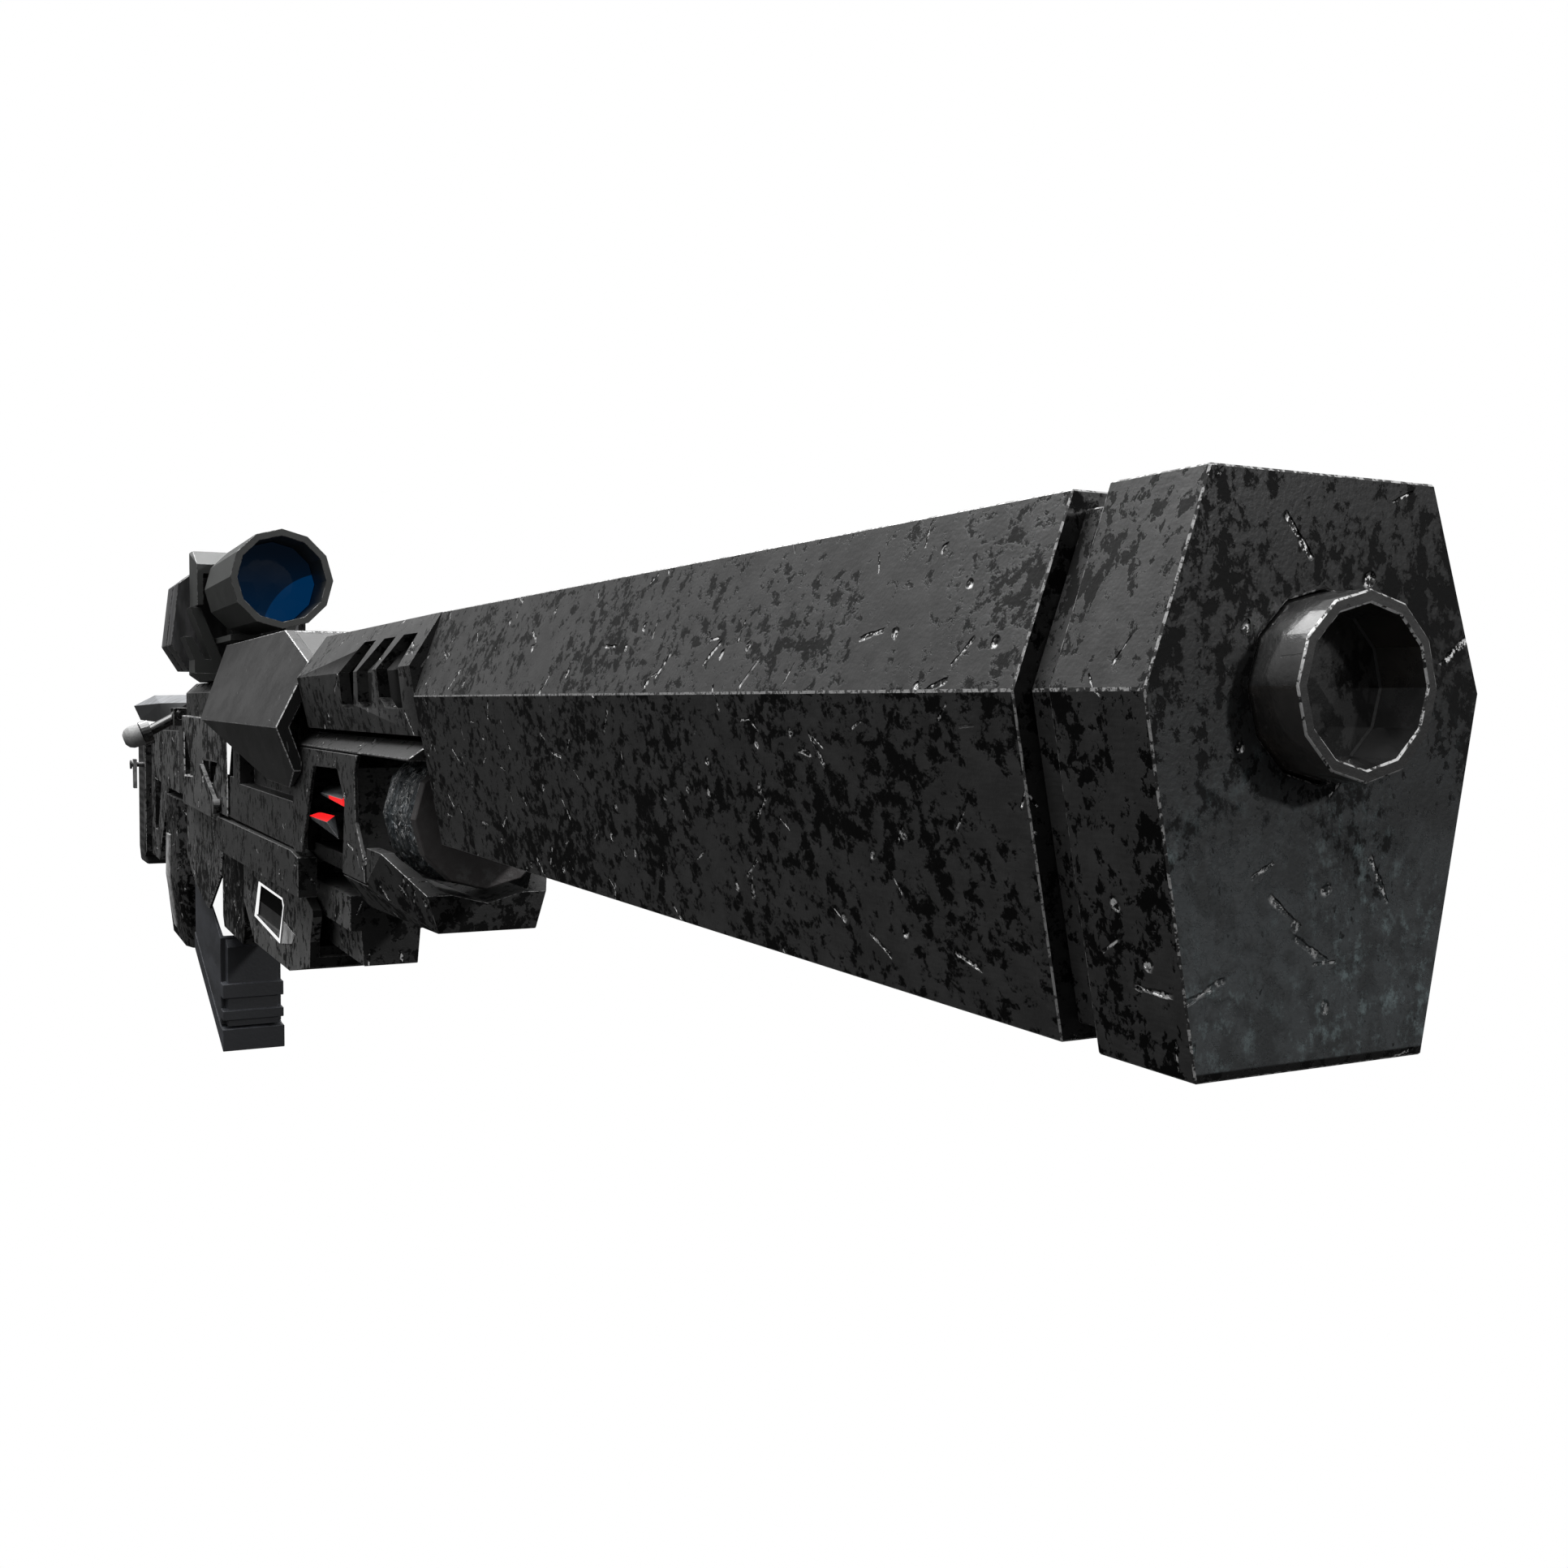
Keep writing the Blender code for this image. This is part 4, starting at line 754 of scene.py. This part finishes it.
def dress(name, look):
    """Gives a CAD node its material and a fine bevel whose faces show worn metal and painted edge highlights.
    """
    item = NODES[name]
    item.data.materials.clear()
    item.data.materials.append(MATERIALS[look])
    item.data.materials.append(MATERIALS[EDGES.get(look, look)])
    if name in TURNED:
        smooth_outside(item, name, TURNED[name])
    weld = item.modifiers.new("weld", "WELD")
    weld.merge_threshold = WELD_DISTANCE
    flat = item.modifiers.new("merge_flat_faces", "DECIMATE")
    flat.decimate_type = "DISSOLVE"
    flat.angle_limit = math.radians(FLAT_ANGLE)
    bevel = item.modifiers.new("fine_edges", "BEVEL")
    bevel.width = BEVEL_WIDTH.get(look, PLAIN_BEVEL) * MODULE
    bevel.segments = 1
    bevel.limit_method = "ANGLE"
    bevel.angle_limit = math.radians(FACET_ANGLE if look in FACETED else PLAIN_ANGLE)
    bevel.material = 1


def dress_all():
    """Dresses every CAD node."""
    for look, names in LOOKS.items():
        for name in names:
            dress(name, look)


# ---------------------------------------------------------------- pieces

def finish_piece(shape, name, body, look):
    """Turns a bmesh in modules into a piece that rides on a body."""
    bmesh.ops.recalc_face_normals(shape, faces=shape.faces)
    mesh = bpy.data.meshes.new(name)
    shape.to_mesh(mesh)
    shape.free()
    mesh.transform(Matrix.Scale(MODULE, 4))
    mesh.materials.append(MATERIALS[look])
    item = bpy.data.objects.new(name, mesh)
    bpy.context.scene.collection.objects.link(item)
    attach(item, body)
    return item


def add_prism(shape, outline, low, high):
    """Adds an outline in X and Z, extruded along Y, to a bmesh."""
    layers = [[shape.verts.new((x, y, z)) for x, z in outline] for y in (low, high)]
    shape.faces.new(layers[0])
    shape.faces.new(layers[1][::-1])
    count = len(outline)
    for index in range(count):
        after = (index + 1) % count
        shape.faces.new((layers[0][index], layers[1][index], layers[1][after], layers[0][after]))


def add_ring(shape, outer, inner, low, high):
    """Adds a flat frame between two outlines of equal length, extruded along Y, to a bmesh."""
    near_out, near_in, far_out, far_in = [
        [shape.verts.new((x, y, z)) for x, z in outline] for y in (low, high) for outline in (outer, inner)]
    count = len(outer)
    for index in range(count):
        after = (index + 1) % count
        for first, second in ((near_out, near_in), (near_in, far_in), (far_in, far_out), (far_out, near_out)):
            shape.faces.new((first[index], first[after], second[after], second[index]))


def prisms_on_both_sides(outline, faces):
    """New bmesh with an outline extruded between two distances from the middle plane, right and left."""
    shape = bmesh.new()
    for side in (-1, 1):
        add_prism(shape, outline, side * faces[0], side * faces[1])
    return shape


def make_window():
    """Lit ring with a dark screen, a grey sill and a pale chip, on both sides of the lower frame."""
    top_left, top_right, front_side, low_right, low_left = RING_INNER
    rear, front = SILL_LINE
    ring = bmesh.new()
    for side in (-1, 1):
        add_ring(ring, RING_OUTER, RING_INNER, side * RING_FACES[0], side * RING_FACES[1])
    screen = prisms_on_both_sides([top_left, top_right, front_side, front, rear], SCREEN_FACES)
    core = SCREEN_FACES[0] - SCREEN_GAP
    add_prism(screen, RING_INNER, -core, core)
    sill = prisms_on_both_sides([rear, front, low_right, low_left], SCREEN_FACES)
    chip = prisms_on_both_sides(CHIP, CHIP_FACES)
    lit = finish_piece(ring, "window_ring", "frame", "white")
    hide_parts("window_lamp")
    finish_piece(screen, "window_screen", "frame", "screen")
    finish_piece(sill, "window_sill", "frame", "sill")
    finish_piece(chip, "window_chip", "frame", "strip")


def make_channel_plate():
    """Plate across the channel in the lower frame."""
    plate = bmesh.new()
    add_prism(plate, PLATE, -PLATE_HALF, PLATE_HALF)
    finish_piece(plate, "channel_plate", "frame", "lower")


def wrap_dent(share, angle):
    """Depth of the foil's dents and sharp creases, as a share of the deepest dent."""
    place = Vector((share * CREASES_ALONG, math.cos(angle) * CREASES_ROUND, math.sin(angle) * CREASES_ROUND))
    nearest = noise.voronoi(place * 1.3 + noise.noise_vector(place) * 0.8)[0]
    fold = min(1.0, (nearest[1] - nearest[0]) * 2.4)
    dent = (1 - fold) * 0.75 + (0.5 + 0.5 * noise.noise(place * 2.0)) * 0.35
    ends = min(1.0, 6 * min(share, 1 - share))
    return dent * (0.35 + 0.65 * ends)


def wrap_loop(shape, along, middle, radii):
    """Adds one loop of vertices round the canister, with a radius for each turn."""
    loop = []
    for turn, radius in enumerate(radii):
        angle = 2 * math.pi * turn / WRAP_TURNS
        loop.append(shape.verts.new((along, radius * math.cos(angle), middle + radius * math.sin(angle))))
    return loop


def make_wrap():
    """Crumpled foil band round the canister: dents and sharp creases press it inwards."""
    noise.seed_set(WRAP_SEED)
    low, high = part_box("canister_band")
    low, high = low / MODULE, high / MODULE
    middle = (low.z + high.z) / 2
    rear_radius = (high.z - low.z) / 2 * math.cos(math.pi / CANISTER_SIDES) - WRAP_GAP
    shape = bmesh.new()
    loops = []
    for row in range(WRAP_ROWS + 1):
        share = row / WRAP_ROWS
        plain = rear_radius * (1 - WRAP_TAPER * share)
        angles = [2 * math.pi * turn / WRAP_TURNS for turn in range(WRAP_TURNS)]
        radii = [plain - WRAP_DENT * wrap_dent(share, angle) for angle in angles]
        loops.append(wrap_loop(shape, low.x + (high.x - low.x) * share, middle, radii))
    for along, taper in ((high.x, WRAP_TAPER), (low.x, 0)):
        lining = rear_radius * (1 - taper) - WRAP_DENT - WRAP_WALL
        loops.append(wrap_loop(shape, along, middle, [lining] * WRAP_TURNS))
    for index, loop in enumerate(loops):
        after = loops[(index + 1) % len(loops)]
        for turn in range(WRAP_TURNS):
            beside = (turn + 1) % WRAP_TURNS
            shape.faces.new((loop[turn], loop[beside], after[beside], after[turn]))
    wrap = finish_piece(shape, "canister_wrap", "canister", "canister")
    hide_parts("canister_band")


# ---------------------------------------------------------------- studio

def make_floor():
    """Wide pale floor under the prop. It shows white and returns little light to the underside."""
    low = CAD_BOUNDS[0]
    bpy.ops.mesh.primitive_plane_add(size=FLOOR_SIZE, location=(low.x / 2, 0, low.z - FLOOR_GAP))
    floor = bpy.context.object
    floor.name = "floor"
    graph = Graph("floor_paint")
    glow = graph.node("Emission", {"Color": WHITE, "Strength": 1.0}).outputs[0]
    matt = graph.node("BsdfDiffuse", {"Color": grey(FLOOR_RETURN)}).outputs[0]
    paint = graph.node("MixShader", {0: graph.seen(), 1: matt, 2: glow}).outputs[0]
    graph.feed(graph.tree.nodes["Material Output"].inputs["Surface"], paint)
    floor.data.materials.append(graph.material)


def make_world():
    """White to the camera; to the prop a soft sky, dark below, with one small bright spot for glints."""
    world = bpy.data.worlds.new("studio")
    bpy.context.scene.world = world
    world.use_nodes = True
    world.node_tree.nodes.clear()
    tree = Tree(world.node_tree)
    direction = tree.node("TexCoord").outputs["Generated"]
    rise = tree.node("SeparateXYZ", {0: direction}).outputs["Z"]
    height = tree.node("MapRange", {0: rise, 1: -1.0, 2: 1.0}).outputs[0]
    level = tree.node("ValToRGB", {0: height})
    stops = level.color_ramp.elements
    stops[0].color = grey(SKY_LOW)
    stops[1].color = grey(SKY_HIGH)
    for position, brightness in SKY_STOPS:
        stops.new(position).color = grey(brightness)
    toward = tree.node("VectorMath", {0: direction, 1: GLINT_DIRECTION}, operation="DOT_PRODUCT")
    limits = {0: toward.outputs["Value"], 1: GLINT_COSINES[0], 2: GLINT_COSINES[1], 3: 0.0, 4: GLINT_STRENGTH}
    glint = tree.node("MapRange", limits).outputs[0]
    both = {0: 1.0, 6: level.outputs["Color"], 7: glint}
    bright = tree.node("Mix", both, data_type="RGBA", blend_type="ADD").outputs[2]
    sky = tree.node("Background", {"Color": bright, "Strength": 1.0}).outputs[0]
    white = tree.node("Background", {"Color": WHITE, "Strength": 1.0}).outputs[0]
    surface = tree.node("MixShader", {0: tree.seen(), 1: sky, 2: white}).outputs[0]
    tree.feed(tree.node("OutputWorld").inputs["Surface"], surface)


def area_light(name, place, target, size, power):
    """Soft rectangular light aimed at a point."""
    data = bpy.data.lights.new(name, "AREA")
    data.shape = "RECTANGLE"
    data.size, data.size_y = size
    data.energy = power
    item = bpy.data.objects.new(name, data)
    bpy.context.scene.collection.objects.link(item)
    item.location = place
    item.rotation_mode = "QUATERNION"
    item.rotation_quaternion = (Vector(target) - Vector(place)).to_track_quat("-Z", "Y")


def make_lights():
    """A long overhead softbox and a weaker one in front, to the left."""
    low, high = CAD_BOUNDS
    middle = (low + high) / 2
    overhead = (middle.x, OVERHEAD_SIDE, OVERHEAD_HEIGHT)
    area_light("overhead", overhead, middle, OVERHEAD_SIZE, OVERHEAD_POWER)
    area_light("front_fill", FILL_PLACE, (0, 0, 0), FILL_SIZE, FILL_POWER)


def make_camera():
    """Camera in front of the muzzle, to its right, looking back along the prop."""
    data = bpy.data.cameras.new("camera")
    data.lens = CAMERA_LENS
    data.sensor_width = CAMERA_SENSOR
    data.clip_start = CAMERA_NEAR
    item = bpy.data.objects.new("camera", data)
    bpy.context.scene.collection.objects.link(item)
    look = Vector(CAMERA_LOOK).normalized()
    right = look.cross(Vector((0, 0, 1))).normalized()
    up = right.cross(look)
    turned_right = right * math.cos(CAMERA_ROLL) + up * math.sin(CAMERA_ROLL)
    turned_up = up * math.cos(CAMERA_ROLL) - right * math.sin(CAMERA_ROLL)
    turn = Matrix((turned_right, turned_up, -look)).transposed()
    item.matrix_world = Matrix.Translation(Vector(CAMERA_PLACE) * MODULE) @ turn.to_4x4()
    bpy.context.scene.camera = item


dress_all()
make_window()
make_channel_plate()
make_wrap()
make_floor()
make_world()
make_lights()
make_camera()
bpy.context.scene.view_settings.view_transform = "Standard"
